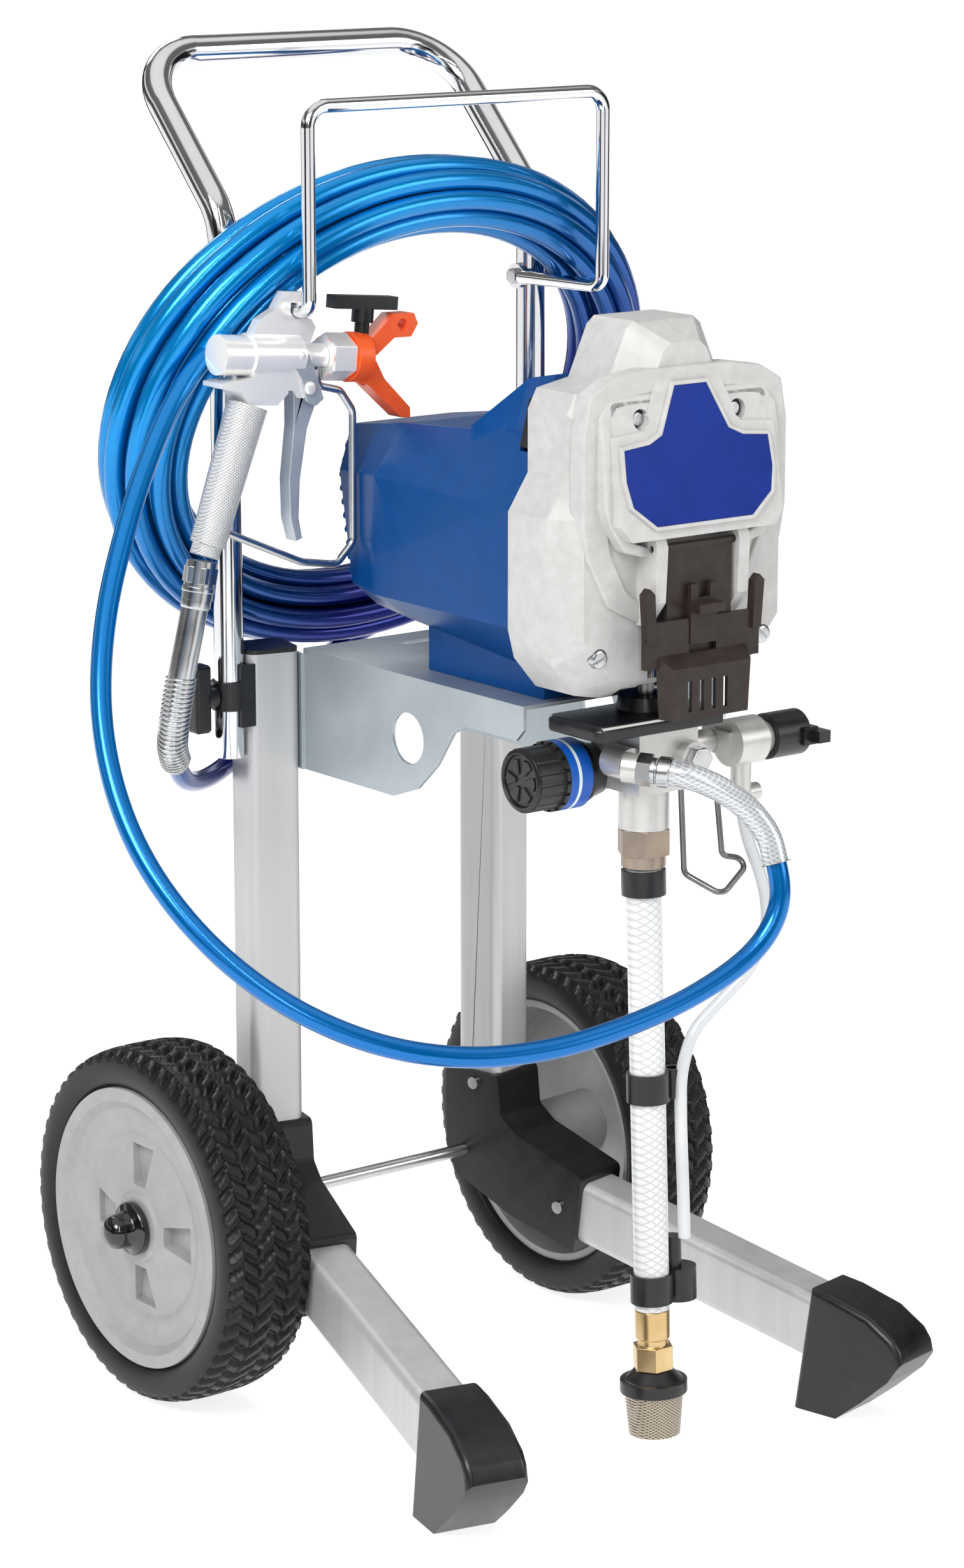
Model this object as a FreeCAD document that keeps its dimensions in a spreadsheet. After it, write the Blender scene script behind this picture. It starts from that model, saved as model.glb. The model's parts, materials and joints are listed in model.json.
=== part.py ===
"""Cart-mounted airless paint sprayer: wheeled cart, electric piston pump, suction set, hose and gun.

Millimetres, +Z up, the front of the machine faces -Y. Sizes and places are worked out in the
axle frame (X across, Y = 0 on the wheel axle, Z = 0 on the floor). Every sub-part is then
moved back by axle_back, so that the model's origin is under the middle of its footprint.
"""

import FreeCAD, Part
import Sketcher
import math
import os

V = FreeCAD.Vector
X_AXIS, Y_AXIS, Z_AXIS = V(1, 0, 0), V(0, 1, 0), V(0, 0, 1)
SIDES = (("left", -1), ("right", 1))

doc = FreeCAD.newDocument("paint_sprayer")

# ---------------------------------------------------------------- driving dimensions
SIZES = {
    # cart
    "axle_back": 127.42, "axle_height": 127.0, "axle_radius": 4.75,
    "wheel_radius": 127.0, "wheel_width": 70.0, "wheel_outer": 217.0,
    "rim_radius": 100.0, "wheel_bore": 4.8,
    "upright_x": 101.0, "upright_y": -5.0, "upright_top": 528.0,
    "tube_width": 38.5, "tube_wall": 2.5, "tube_corner": 7.0,
    "leg_height": 46.0, "leg_splay": 12.5, "leg_slope": 11.0, "leg_root": 118.5,
    "leg_start": 26.0, "leg_end": 334.0, "bracket_wall": 4.0,
    "foot_wall": 3.0, "foot_toe": 382.0,
    # pump bracket
    "bracket_half": 84.0, "bracket_top": 530.0, "bracket_sheet": 2.5,
    "bracket_front": -275.0, "bracket_rear": -28.0, "flange_drop": 86.0,
    # handle and hose rack
    "handle_x": 132.3, "handle_y": -7.5, "handle_foot": 456.0, "handle_bend": 827.0,
    "handle_top": 933.0, "handle_reach": 96.5, "handle_radius": 10.25, "handle_wall": 1.5,
    "rack_x": 125.0, "rack_root": 118.6, "rack_y": -97.0, "rack_low": 772.0,
    "rack_high": 907.0, "rack_radius": 4.75, "knob_height": 500.0, "handle_travel": 25.0,
    # drive unit
    "cover_rear": -28.0, "cover_front": -272.0, "cover_wall": 3.0,
    "motor_height": 640.0, "motor_radius": 38.0, "shaft_radius": 4.0,
    "pinion_radius": 8.0, "gear_radius": 32.0, "crank_throw": 8.0,
    # pump
    "pump_y": -297.0, "inlet_top": 442.0, "rod_radius": 6.0, "pump_radius": 17.0,
    "knob_y": -272.0, "knob_z": 480.0, "valve_y": -325.0, "valve_z": 497.0,
    "suction_radius": 12.0, "suction_lean": 2.5, "suction_length": 305.0,
    # hose
    "hose_diameter": 14.0, "coil_half_width": 198.0, "coil_half_height": 153.0,
    "coil_lean": 58.0, "coil_height": 690.5, "coil_section": 27.5,
    # gun
    "gun_y": -78.0, "gun_x": -127.0, "gun_z": 741.5, "gun_tilt": 5.2,
}

sheet = doc.addObject("Spreadsheet::Sheet", "Sizes")
for row, (alias, number) in enumerate(SIZES.items(), start=1):
    sheet.set(f"A{row}", alias)
    sheet.set(f"B{row}", str(number))
    sheet.setAlias(f"B{row}", alias)
doc.recompute()


def size(alias):
    """One driving dimension, read from the sheet."""
    return float(sheet.get(alias))


NODES = []


def origin_shift():
    """From the axle frame to the row frame."""
    return V(0, size("axle_back"), 0)


def finish(node, label, turn=None, at=(0, 0, 0)):
    """Names a finished sub-part and moves it from the axle frame to its place."""
    node.Label = label
    rotation = turn if turn is not None else FreeCAD.Rotation()
    node.Placement = FreeCAD.Placement(origin_shift() + V(*at), rotation)
    NODES.append(node)
    return node


def bind(item, expressions):
    for field, expression in expressions.items():
        item.setExpression(field, expression)
    return item


# ---------------------------------------------------------------- Part primitives
def part_box(name, low, high):
    """Box between two corners, in the axle frame."""
    item = doc.addObject("Part::Box", name)
    item.Length, item.Width, item.Height = [b - a for a, b in zip(low, high)]
    item.Placement.Base = V(*low)
    return item


def part_cylinder(name, radius, length, start, along=Z_AXIS):
    item = doc.addObject("Part::Cylinder", name)
    item.Radius, item.Height = radius, length
    item.Placement = FreeCAD.Placement(V(*start), FreeCAD.Rotation(Z_AXIS, along))
    return item


def part_cone(name, radius_low, radius_high, length, start, along=Z_AXIS):
    item = doc.addObject("Part::Cone", name)
    item.Radius1, item.Radius2, item.Height = radius_low, radius_high, length
    item.Placement = FreeCAD.Placement(V(*start), FreeCAD.Rotation(Z_AXIS, along))
    return item


def part_hex(name, across, length, start, along=Z_AXIS):
    """Hexagonal prism, measured across its flats."""
    item = doc.addObject("Part::Prism", name)
    item.Polygon, item.Circumradius, item.Height = 6, across / math.sqrt(3), length
    item.Placement = FreeCAD.Placement(V(*start), FreeCAD.Rotation(Z_AXIS, along))
    return item


def join(name, *items):
    if len(items) == 1:
        return items[0]
    item = doc.addObject("Part::MultiFuse", name)
    item.Shapes = list(items)
    return item


def cut(name, base, *tools):
    item = doc.addObject("Part::Cut", name)
    item.Base = base
    item.Tool = tools[0] if len(tools) == 1 else join(name + "_tools", *tools)
    return item


def rounded(name, base, radius, chosen):
    """Fillets the edges that the test chooses."""
    doc.recompute()
    item = doc.addObject("Part::Fillet", name)
    item.Base = base
    picked = [i for i, edge in enumerate(base.Shape.Edges, start=1) if chosen(edge)]
    item.Edges = [(i, radius, radius) for i in picked]
    return item


def runs_along(direction):
    """Test for straight edges parallel to a direction."""
    def test(edge):
        if edge.Curve.TypeId != "Part::GeomLine":
            return False
        return edge.Curve.Direction.cross(direction).Length < 1e-6
    return test


def feature(name, shape):
    item = doc.addObject("Part::Feature", name)
    item.Shape = shape
    return item


# ---------------------------------------------------------------- sketches and bodies
def new_body(name):
    return doc.addObject("PartDesign::Body", name)


def new_sketch(body, name, plane="XY_Plane", offset=0.0):
    item = body.newObject("Sketcher::SketchObject", name)
    origin = [f for f in body.Origin.OriginFeatures if f.Role == plane][0]
    item.AttachmentSupport = [(origin, "")]
    item.MapMode = "FlatFace"
    item.AttachmentOffset = FreeCAD.Placement(V(0, 0, offset), FreeCAD.Rotation())
    return item


def sketch_outline(sketch, corners):
    """Closed straight-sided outline."""
    first = sketch.GeometryCount
    count = len(corners)
    for i in range(count):
        a, b = corners[i], corners[(i + 1) % count]
        sketch.addGeometry(Part.LineSegment(V(a[0], a[1], 0), V(b[0], b[1], 0)), False)
    for i in range(count):
        after = first + (i + 1) % count
        sketch.addConstraint(Sketcher.Constraint("Coincident", first + i, 2, after, 1))


def sketch_rounded_box(sketch, width, depth, corner):
    """Rectangle with round corners about the origin."""
    x, y = width / 2 - corner, depth / 2 - corner
    quarter = math.pi / 2
    for k, (cx, cy) in enumerate(((x, y), (-x, y), (-x, -y), (x, -y))):
        circle = Part.Circle(V(cx, cy, 0), Z_AXIS, corner)
        sketch.addGeometry(Part.ArcOfCircle(circle, k * quarter, (k + 1) * quarter), False)
    w, d = width / 2, depth / 2
    sides = (((x, d), (-x, d)), ((-w, y), (-w, -y)), ((-x, -d), (x, -d)), ((w, -y), (w, y)))
    for a, b in sides:
        sketch.addGeometry(Part.LineSegment(V(a[0], a[1], 0), V(b[0], b[1], 0)), False)


def pad(body, sketch, length, expression=None, name="Pad"):
    item = body.newObject("PartDesign::Pad", name)
    item.Profile = sketch
    item.Length = length
    if expression:
        item.setExpression("Length", expression)
    return item


def revolve(body, sketch, name="Revolution"):
    """Turns a sketch on the XZ plane about the body's Z axis."""
    item = body.newObject("PartDesign::Revolution", name)
    item.Profile = sketch
    item.ReferenceAxis = (sketch, ["V_Axis"])
    item.Angle = 360
    return item


def square_tube(name, depth_alias, length_expression, length):
    """Hollow rounded-box extrusion along the body's Z, as the cart's aluminium tubes are."""
    body = new_body(name)
    profile = new_sketch(body, name + "_profile")
    width, depth = size("tube_width"), size(depth_alias)
    wall, corner = size("tube_wall"), size("tube_corner")
    sketch_rounded_box(profile, width, depth, corner)
    sketch_rounded_box(profile, width - 2 * wall, depth - 2 * wall, corner - wall)
    pad(body, profile, length, length_expression, name + "_pad")
    return body


# ---------------------------------------------------------------- wires and sweeps
def route_edges(points, radii, closed=False):
    """Straight runs joined by tangent arcs. radii is one number or one for each inner point."""
    points = [V(*p) for p in points]
    inner = len(points) - 2
    if not isinstance(radii, (list, tuple)):
        radii = [radii] * inner
    edges, start = [], points[0]
    for i in range(inner):
        before, corner, after = points[i], points[i + 1], points[i + 2]
        u = (before - corner).normalize()
        w = (after - corner).normalize()
        half = math.acos(max(-1.0, min(1.0, u.dot(w)))) / 2
        reach = radii[i] / math.tan(half)
        a, b = corner + u * reach, corner + w * reach
        centre = corner + (u + w).normalize() * (radii[i] / math.sin(half))
        middle = centre + (corner - centre).normalize() * radii[i]
        if (a - start).Length > 1e-4:
            edges.append(Part.LineSegment(start, a).toShape())
        edges.append(Part.Arc(a, middle, b).toShape())
        start = b
    edges.append(Part.LineSegment(start, points[-1]).toShape())
    return edges


def sweep(edges, radius):
    wire = Part.Wire(edges)
    first = edges[0]
    tangent = first.tangentAt(first.FirstParameter)
    ring = Part.Wire(Part.makeCircle(radius, first.valueAt(first.FirstParameter), tangent))
    return wire.makePipeShell([ring], True, False)


def cord_radii(points):
    """Each arc is as large as its two runs allow."""
    points = [V(*p) for p in points]
    radii = []
    for a, b, c in zip(points, points[1:], points[2:]):
        u, w = b - a, c - b
        turn = u.getAngle(w)
        radii.append(0.45 * min(u.Length, w.Length) / math.tan(turn / 2))
    return radii


def cord_tube(name, points, diameter):
    radii = cord_radii(points)
    edges = route_edges(points, radii)
    shape = sweep(edges, diameter / 2)
    length = sum(edge.Length for edge in edges)
    wanted = math.pi * diameter ** 2 / 4 * length
    print(f"{name}: length {length:.0f}, tightest radius {min(radii):.0f},"
          f" volume ratio {shape.Volume / wanted:.4f}")
    return feature(name, shape)


def loft(sections, ruled=True):
    wires = [Part.makePolygon([V(*p) for p in s] + [V(*s[0])]) for s in sections]
    return Part.makeLoft(wires, True, ruled)


def mirror_outline(half):
    """Right half of an outline in (x, z), from its lower middle up to its top middle."""
    left = [(-x, z) for x, z in reversed(half) if x > 0]
    return list(half) + left


def prism(outline, y_rear, y_front):
    """Solid with a front-view outline, between two depths."""
    face = Part.Face(Part.makePolygon([V(x, y_rear, z) for x, z in outline + outline[:1]]))
    return face.extrude(V(0, y_front - y_rear, 0))


def side_prism(outline, half_width):
    """Solid with a side-view outline in (y, z), centred on X = 0."""
    corners = [V(-half_width, y, z) for y, z in outline + outline[:1]]
    return Part.Face(Part.makePolygon(corners)).extrude(V(2 * half_width, 0, 0))


# ================================================================ cart
def leg_turn(side):
    """Turn of one side of the cart about the vertical: the legs toe outward."""
    return FreeCAD.Rotation(Z_AXIS, side * size("leg_splay"))


def upright_place(side):
    return (side * size("upright_x"), size("upright_y"), 0)


def cross_hole(name, side, radius, spot, inward):
    """Hole along X, in the turned frame of one side, from `inward` of its upright outward."""
    unturn = leg_turn(side).inverted()
    x, y, z = upright_place(side)
    start = unturn.multVec(V(-side * inward, spot[0] - y, spot[1]))
    hole = part_cylinder(name, radius, inward + 80, (0, 0, 0))
    lay = unturn.multiply(FreeCAD.Rotation(Z_AXIS, X_AXIS * side))
    hole.Placement = FreeCAD.Placement(start, lay)
    return hole


def build_uprights():
    low = size("leg_root")
    for word, side in SIDES:
        tube = square_tube(f"{word}_upright_tube", "tube_width",
                           "Sizes.upright_top - Sizes.leg_root", size("upright_top") - low)
        axle_hole = cross_hole(f"{word}_upright_axle", side, size("axle_radius") + 0.05,
                               (0, size("axle_height")), 80)
        knob_hole = cross_hole(f"{word}_upright_bolt", side, 4.4,
                               (size("handle_y"), size("knob_height")), 0)
        for hole in (axle_hole, knob_hole):
            hole.Placement.Base = hole.Placement.Base - V(0, 0, low)
        drilled = cut(f"{word}_upright", tube, axle_hole, knob_hole)
        x, y, z = upright_place(side)
        finish(drilled, f"{word}_upright", leg_turn(side), (x, y, low))


def build_upright_caps():
    """Moulded end caps: a lid on each upright and a plug inside it."""
    caps = []
    wide = size("tube_width")
    inner = wide - 2 * size("tube_wall") - 0.4
    top = size("upright_top")
    for word, side in SIDES:
        lid = part_box(word + "_lid", (-wide / 2, -wide / 2, top), (wide / 2, wide / 2, top + 3))
        lid = rounded(word + "_lid_round", lid, size("tube_corner"), runs_along(Z_AXIS))
        plug = part_box(word + "_plug", (-inner / 2, -inner / 2, top - 12),
                        (inner / 2, inner / 2, top))
        plug = rounded(word + "_plug_round", plug, 4.5, runs_along(Z_AXIS))
        cap = join(word + "_cap", lid, plug)
        x, y, z = upright_place(side)
        cap.Placement = FreeCAD.Placement(V(x, y, 0), leg_turn(side))
        caps.append(cap)
    both = doc.addObject("Part::Compound", "upright_caps")
    both.Links = caps
    finish(both, "upright_caps")


def leg_rotation(side):
    return leg_turn(side).multiply(FreeCAD.Rotation(X_AXIS, size("leg_slope")))


def leg_line(side, along):
    """Point on a leg's centreline, that far from the upright's axis along the leg."""
    x, y, z = upright_place(side)
    ahead = leg_rotation(side).multVec(V(0, -along, 0))
    return V(x, y, size("leg_root")) + ahead


def build_legs():
    for word, side in SIDES:
        body = square_tube(f"{word}_leg", "leg_height", "Sizes.leg_end - Sizes.leg_start",
                           size("leg_end") - size("leg_start"))
        lay = FreeCAD.Rotation(X_AXIS, 90)
        place = leg_line(side, size("leg_start"))
        finish(body, f"{word}_leg", leg_rotation(side).multiply(lay), tuple(place))


def tube_cutter(name, width, depth, length):
    """Plain solid that clears a tube, along Z."""
    item = part_box(name, (-width / 2, -depth / 2, 0), (width / 2, depth / 2, length))
    return rounded(name + "_round", item, size("tube_corner"), runs_along(Z_AXIS))


def build_corner_brackets():
    """Black mouldings that hold the upright, the leg and the axle on each side."""
    outline = [(26, 128), (26, 190), (-23, 190), (-26, 160), (-40, 149), (-102, 128),
               (-95, 71), (-35, 86), (17, 108)]
    half = size("tube_width") / 2 + size("bracket_wall")
    gap = 0.2
    for word, side in SIDES:
        name = f"{word}_corner_bracket"
        body = new_body(name + "_body")
        profile = new_sketch(body, name + "_outline", "YZ_Plane", -half)
        sketch_outline(profile, outline)
        pad(body, profile, 2 * half, "Sizes.tube_width + 2 * Sizes.bracket_wall", name + "_pad")
        softened = rounded(name + "_soft", body, 5.0,
                           lambda e: runs_along(X_AXIS)(e) and e.CenterOfMass.z > 120)
        wide = size("tube_width") + gap
        post = tube_cutter(name + "_post", wide, wide, 200)
        post.Placement.Base = V(0, 0, size("leg_root") - 0.2)
        arm = tube_cutter(name + "_arm", wide, size("leg_height") + gap, 200)
        slope = FreeCAD.Rotation(X_AXIS, size("leg_slope"))
        start = slope.multVec(V(0, -size("leg_start") + 0.2, 0)) + V(0, 0, size("leg_root"))
        arm.Placement = FreeCAD.Placement(start, slope.multiply(FreeCAD.Rotation(X_AXIS, 90)))
        hole = cross_hole(name + "_hole", side, size("axle_radius") + 0.05,
                          (0, size("axle_height")), 80)
        shell = cut(name, softened, post, arm, hole)
        finish(shell, name, leg_turn(side), upright_place(side))


def build_bracket_screws():
    """Button-head screws through the brackets and the tubes, and through the pump bracket."""
    screws = []
    half = size("tube_width") / 2 + size("bracket_wall")
    spots = [(-1.0, 181.0), (-81.0, 102.0)]
    for word, side in SIDES:
        for k, (y, z) in enumerate(spots):
            for face in (-1, 1):
                name = f"{word}_screw_{k}_{'inner' if face < 0 else 'outer'}"
                item = part_cylinder(name, 4.5, 2.2, (face * half, y, z), X_AXIS * face)
                place = FreeCAD.Placement(V(*upright_place(side)), leg_turn(side))
                item.Placement = place.multiply(item.Placement)
                screws.append(item)
    group = doc.addObject("Part::Compound", "bracket_screws")
    group.Links = screws
    finish(group, "bracket_screws")


def build_feet():
    """Moulded shoes: a flat pad to stand on and a toe that curves up."""
    toe = size("foot_toe")
    outline = [(-292, 0), (-329, 0), (-350, 17), (-372, 37), (-toe, 52), (-toe + 2, 60),
               (-toe + 8, 68), (-354, 80), (-322, 88), (-305, 90)]
    half = size("tube_width") / 2 + size("foot_wall")
    for word, side in SIDES:
        name = f"{word}_foot"
        body = new_body(name + "_body")
        profile = new_sketch(body, name + "_outline", "YZ_Plane", -half)
        sketch_outline(profile, outline)
        pad(body, profile, 2 * half, "Sizes.tube_width + 2 * Sizes.foot_wall", name + "_pad")
        softened = rounded(name + "_soft", body, 5.0,
                           lambda e: abs(abs(e.CenterOfMass.x) - half) < 1e-6
                           and e.CenterOfMass.z > 45)
        wide, high = size("tube_width") + 0.2, size("leg_height") + 0.2
        pocket = tube_cutter(name + "_pocket", wide, high, 90)
        slope = FreeCAD.Rotation(X_AXIS, size("leg_slope"))
        start = slope.multVec(V(0, -size("leg_end") + 89.8, 0)) + V(0, 0, size("leg_root"))
        pocket.Placement = FreeCAD.Placement(start,
                                             slope.multiply(FreeCAD.Rotation(X_AXIS, 90)))
        shoe = cut(name, softened, pocket)
        finish(shoe, name, leg_turn(side), upright_place(side))


def build_axle():
    length = 2 * size("wheel_outer") + 8
    rod = part_cylinder("axle_rod", size("axle_radius"), length,
                        (0, 0, 0), X_AXIS)
    bind(rod, {"Radius": "Sizes.axle_radius", "Height": "2 * Sizes.wheel_outer + 8"})
    finish(rod, "axle_rod", FreeCAD.Rotation(Z_AXIS, X_AXIS),
           (-length / 2, 0, size("axle_height")))


def build_axle_caps():
    """Push-on caps that keep the wheels on the axle."""
    caps = []
    start = size("wheel_outer") - 3
    for word, side in SIDES:
        along = X_AXIS * side
        z = size("axle_height")
        flange = part_cylinder(word + "_cap_flange", 19, 6, (side * start, 0, z), along)
        nose = part_cone(word + "_cap_nose", 14, 12.5, 18, (side * (start + 6), 0, z), along)
        bore = part_cylinder(word + "_cap_bore", size("axle_radius"), 7.0,
                             (side * start, 0, z), along)
        caps.append(cut(word + "_axle_cap", join(word + "_cap_solid", flange, nose), bore))
    group = doc.addObject("Part::Compound", "axle_caps")
    group.Links = caps
    finish(group, "axle_caps")


def build_wheels():
    """Plastic disc hubs with a raised rim and four pockets, and treaded solid tyres."""
    rim, wide = size("rim_radius"), size("wheel_width")
    radius, bore = size("wheel_radius"), size("wheel_bore")
    for word, side in SIDES:
        hub = new_body(f"{word}_hub")
        profile = new_sketch(hub, f"{word}_hub_profile", "XZ_Plane")
        half = wide / 2
        web = [(bore, -half - 2), (22, -half - 2), (24, half - 22), (rim - 8, half - 18),
               (rim - 6, -half + 6), (rim, -half + 6), (rim, half - 1), (rim - 9, half - 1),
               (rim - 15, half - 7), (70, half - 9), (64, half - 12), (26, half - 7),
               (24, half - 4.5), (bore, half - 4.5)]
        sketch_outline(profile, web)
        revolve(hub, profile, f"{word}_hub_turned")
        pocket_sketch = new_sketch(hub, f"{word}_hub_pocket", "XY_Plane", half)
        sketch_outline(pocket_sketch, [(30, -7), (58, -13), (58, 13), (30, 7)])
        pocket = hub.newObject("PartDesign::Pocket", f"{word}_hub_recess")
        pocket.Profile = pocket_sketch
        pocket.Length = 17
        ring = hub.newObject("PartDesign::PolarPattern", f"{word}_hub_recesses")
        ring.Originals = [pocket]
        ring.Axis = (pocket_sketch, ["N_Axis"])
        ring.Angle = 360
        ring.Occurrences = 4
        hub.Tip = ring
        middle = size("wheel_outer") - wide / 2
        turn = FreeCAD.Rotation(Z_AXIS, X_AXIS * side)
        finish(hub, f"{word}_hub", turn, (side * middle, 0, size("axle_height")))

        tyre = new_body(f"{word}_tyre")
        section = new_sketch(tyre, f"{word}_tyre_profile", "XZ_Plane")
        edge = [(rim + 0.01, -half + 4), (rim + 9, -half), (radius - 8, -half),
                (radius - 2.5, -half + 6), (radius, -half + 16), (radius, half - 16),
                (radius - 2.5, half - 6), (radius - 8, half), (rim + 9, half),
                (rim + 0.01, half - 4)]
        sketch_outline(section, edge)
        revolve(tyre, section, f"{word}_tyre_turned")
        finish(tyre, f"{word}_tyre", turn, (side * middle, 0, size("axle_height")))


def build_pump_bracket():
    """Zinc-plated sheet: a top plate between two shaped flanges, with a tab to each upright."""
    half, top = size("bracket_half"), size("bracket_top")
    thick, drop = size("bracket_sheet"), size("flange_drop")
    rear, front = size("bracket_rear"), size("bracket_front")
    plate = part_box("bracket_plate", (-half, front, top - thick), (half, rear, top))
    outline = [(rear, top), (front, top), (front, top - 16), (front + 8, top - 24),
               (-214, top - 24), (-200, top - 31), (-182, top - 56), (-160, top - 76),
               (-132, top - drop), (rear, top - drop)]
    flanges = []
    for word, side in SIDES:
        x = side * half
        corners = [V(x, y, z) for y, z in outline + outline[:1]]
        sheet_face = Part.Face(Part.makePolygon(corners))
        flange = feature(word + "_flange", sheet_face.extrude(V(-side * thick, 0, 0)))
        hole = part_cylinder(word + "_hanger_hole", 17.5, 3 * thick,
                             (x - side * 2 * thick, -149, top - 43), X_AXIS * side)
        flanges.append(cut(word + "_flange_cut", flange, hole))
        tab = part_box(word + "_tab", (0, 0, top - drop), (thick, 38, top - 4))
        lay = leg_turn(side)
        inner = V(*upright_place(side)) + lay.multVec(
            V(-side * (size("tube_width") / 2 + 0.1 + (thick if side > 0 else 0)), -20, 0))
        tab.Placement = FreeCAD.Placement(V(inner.x, inner.y, top - drop), lay)
        flanges.append(tab)
    slot = part_box("bracket_drain_slot", (-20, -60, top - 2 * thick), (20, -50, top + 1))
    whole = cut("pump_bracket", join("bracket_sheet_metal", plate, *flanges), slot)
    finish(whole, "pump_bracket")


def build_handle_guides():
    """Black saddles between each upright and its handle tube."""
    saddles = []
    z = size("knob_height")
    for word, side in SIDES:
        x_tube, y = side * size("handle_x"), size("handle_y")
        block = part_box(word + "_saddle_block", (0, 0, 0), (14, 26, 44))
        block.Placement.Base = V(side * 124 - 7, y - 13, z - 22)
        collar = part_cylinder(word + "_saddle_collar", size("handle_radius") + 2.4, 20,
                               (x_tube, y, z - 10))
        seat = part_cylinder(word + "_saddle_seat", size("handle_radius") + 0.3, 60,
                             (x_tube, y, z - 30))
        bore = part_cylinder(word + "_saddle_bore", 4.3, 60, (side * 100, y, z), X_AXIS * side)
        wide = size("tube_width")
        post = tube_cutter(word + "_saddle_post", wide + 0.1, wide + 0.1, 120)
        post.Placement = FreeCAD.Placement(V(*upright_place(side)) + V(0, 0, z - 60),
                                           leg_turn(side))
        solid = join(word + "_saddle_solid", block, collar)
        saddles.append(cut(word + "_saddle", solid, seat, bore, post))
    group = doc.addObject("Part::Compound", "handle_guides")
    group.Links = saddles
    finish(group, "handle_guides")


def handle_points():
    x, y = size("handle_x"), size("handle_y")
    low, bend = size("handle_foot"), size("handle_bend")
    top, reach = size("handle_top"), size("handle_reach")
    return [(-x, y, low), (-x, y, bend), (-x, reach, top), (x, reach, top), (x, y, bend),
            (x, y, low)]


def build_handle():
    """One bent chrome tube, slotted at each foot for the clamp bolt."""
    radii = [45, 48, 48, 45]
    outer = sweep(route_edges(handle_points(), radii), size("handle_radius"))
    inner = sweep(route_edges(handle_points(), radii),
                  size("handle_radius") - size("handle_wall"))
    slots = []
    z, travel = size("knob_height"), size("handle_travel")
    for word, side in SIDES:
        x, y = side * size("handle_x"), size("handle_y")
        for end in (z - travel, z):
            slots.append(Part.makeCylinder(4.6, 40, V(x - 20, y, end), X_AXIS))
        slots.append(Part.makeBox(40, 9.2, travel, V(x - 20, y - 4.6, z - travel)))
        slots.append(Part.makeCylinder(3.1, 40, V(x - 20, y, size("rack_low")), X_AXIS))
    finish(feature("handle_frame", outer.cut(inner).cut(slots[0].multiFuse(slots[1:]))),
           "handle_frame")


def build_hose_rack():
    """Bent rod that stands out in front of the handle, with a flat eye at each end."""
    x, root = size("rack_x"), size("rack_root")
    y, front = size("handle_y"), size("rack_y")
    low, high = size("rack_low"), size("rack_high")
    points = [(-root, y - 6, low), (-x, front, low), (-x, front, high), (x, front, high),
              (x, front, low), (root, y - 6, low)]
    rod = sweep(route_edges(points, [9, 14, 14, 9]), size("rack_radius"))
    eyes = []
    for word, side in SIDES:
        eye = Part.makeCylinder(9, 4, V(side * (root - 0.6), y, low), X_AXIS * side)
        bore = Part.makeCylinder(3.2, 30, V(side * (root - 15), y, low), X_AXIS * side)
        rod = rod.fuse(eye)
        eyes.append(bore)
    finish(feature("hose_rack", rod.cut(eyes[0].fuse(eyes[1]))), "hose_rack")


def build_rack_bolts():
    """A bolt through each rack eye and handle tube, with a domed head and a nut."""
    bolts = []
    low, y = size("rack_low"), size("handle_y")
    for word, side in SIDES:
        inner = size("rack_root") - 0.8
        outer = size("handle_x") + size("handle_radius") + 0.1
        along = X_AXIS * side
        head = part_hex(word + "_rack_head", 10, 4, (side * (inner - 4), y, low), along)
        stem = part_cylinder(word + "_rack_stem", 3.0, outer - inner, (side * inner, y, low), along)
        nut = part_hex(word + "_rack_nut", 10, 5, (side * outer, y, low), along)
        bolts.append(join(word + "_rack_bolt", head, stem, nut))
    group = doc.addObject("Part::Compound", "rack_bolts")
    group.Links = bolts
    finish(group, "rack_bolts")


def build_clamp_knobs():
    """T-handled screws that lock the handle height."""
    z, y = size("knob_height"), size("handle_y")
    for word, side in SIDES:
        start = size("handle_x") + size("handle_radius") + 2.8
        along = X_AXIS * side
        collar = part_cylinder(word + "_knob_collar", 8, 8, (side * start, y, z), along)
        bar = part_box(word + "_knob_bar", (-6.5, -7, -24), (6.5, 7, 24))
        bar.Placement.Base = V(side * (start + 12) - 6.5, y - 7, z - 24)
        bar = rounded(word + "_knob_bar_round", bar, 3.0, lambda e: True)
        reach = 44.0
        stem = part_cylinder(word + "_knob_stem", 4.2, reach,
                             (side * (start + 1 - reach), y, z), along)
        knob = join(f"{word}_clamp_knob", collar, bar, stem)
        finish(knob, f"{word}_clamp_knob")


# ================================================================ drive unit
# the switch leans with the side of the cover's hump
SWITCH_PIVOT = (-63, -259.5, 711)
SWITCH_LEAN = FreeCAD.Rotation(Y_AXIS, 14.5)


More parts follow.
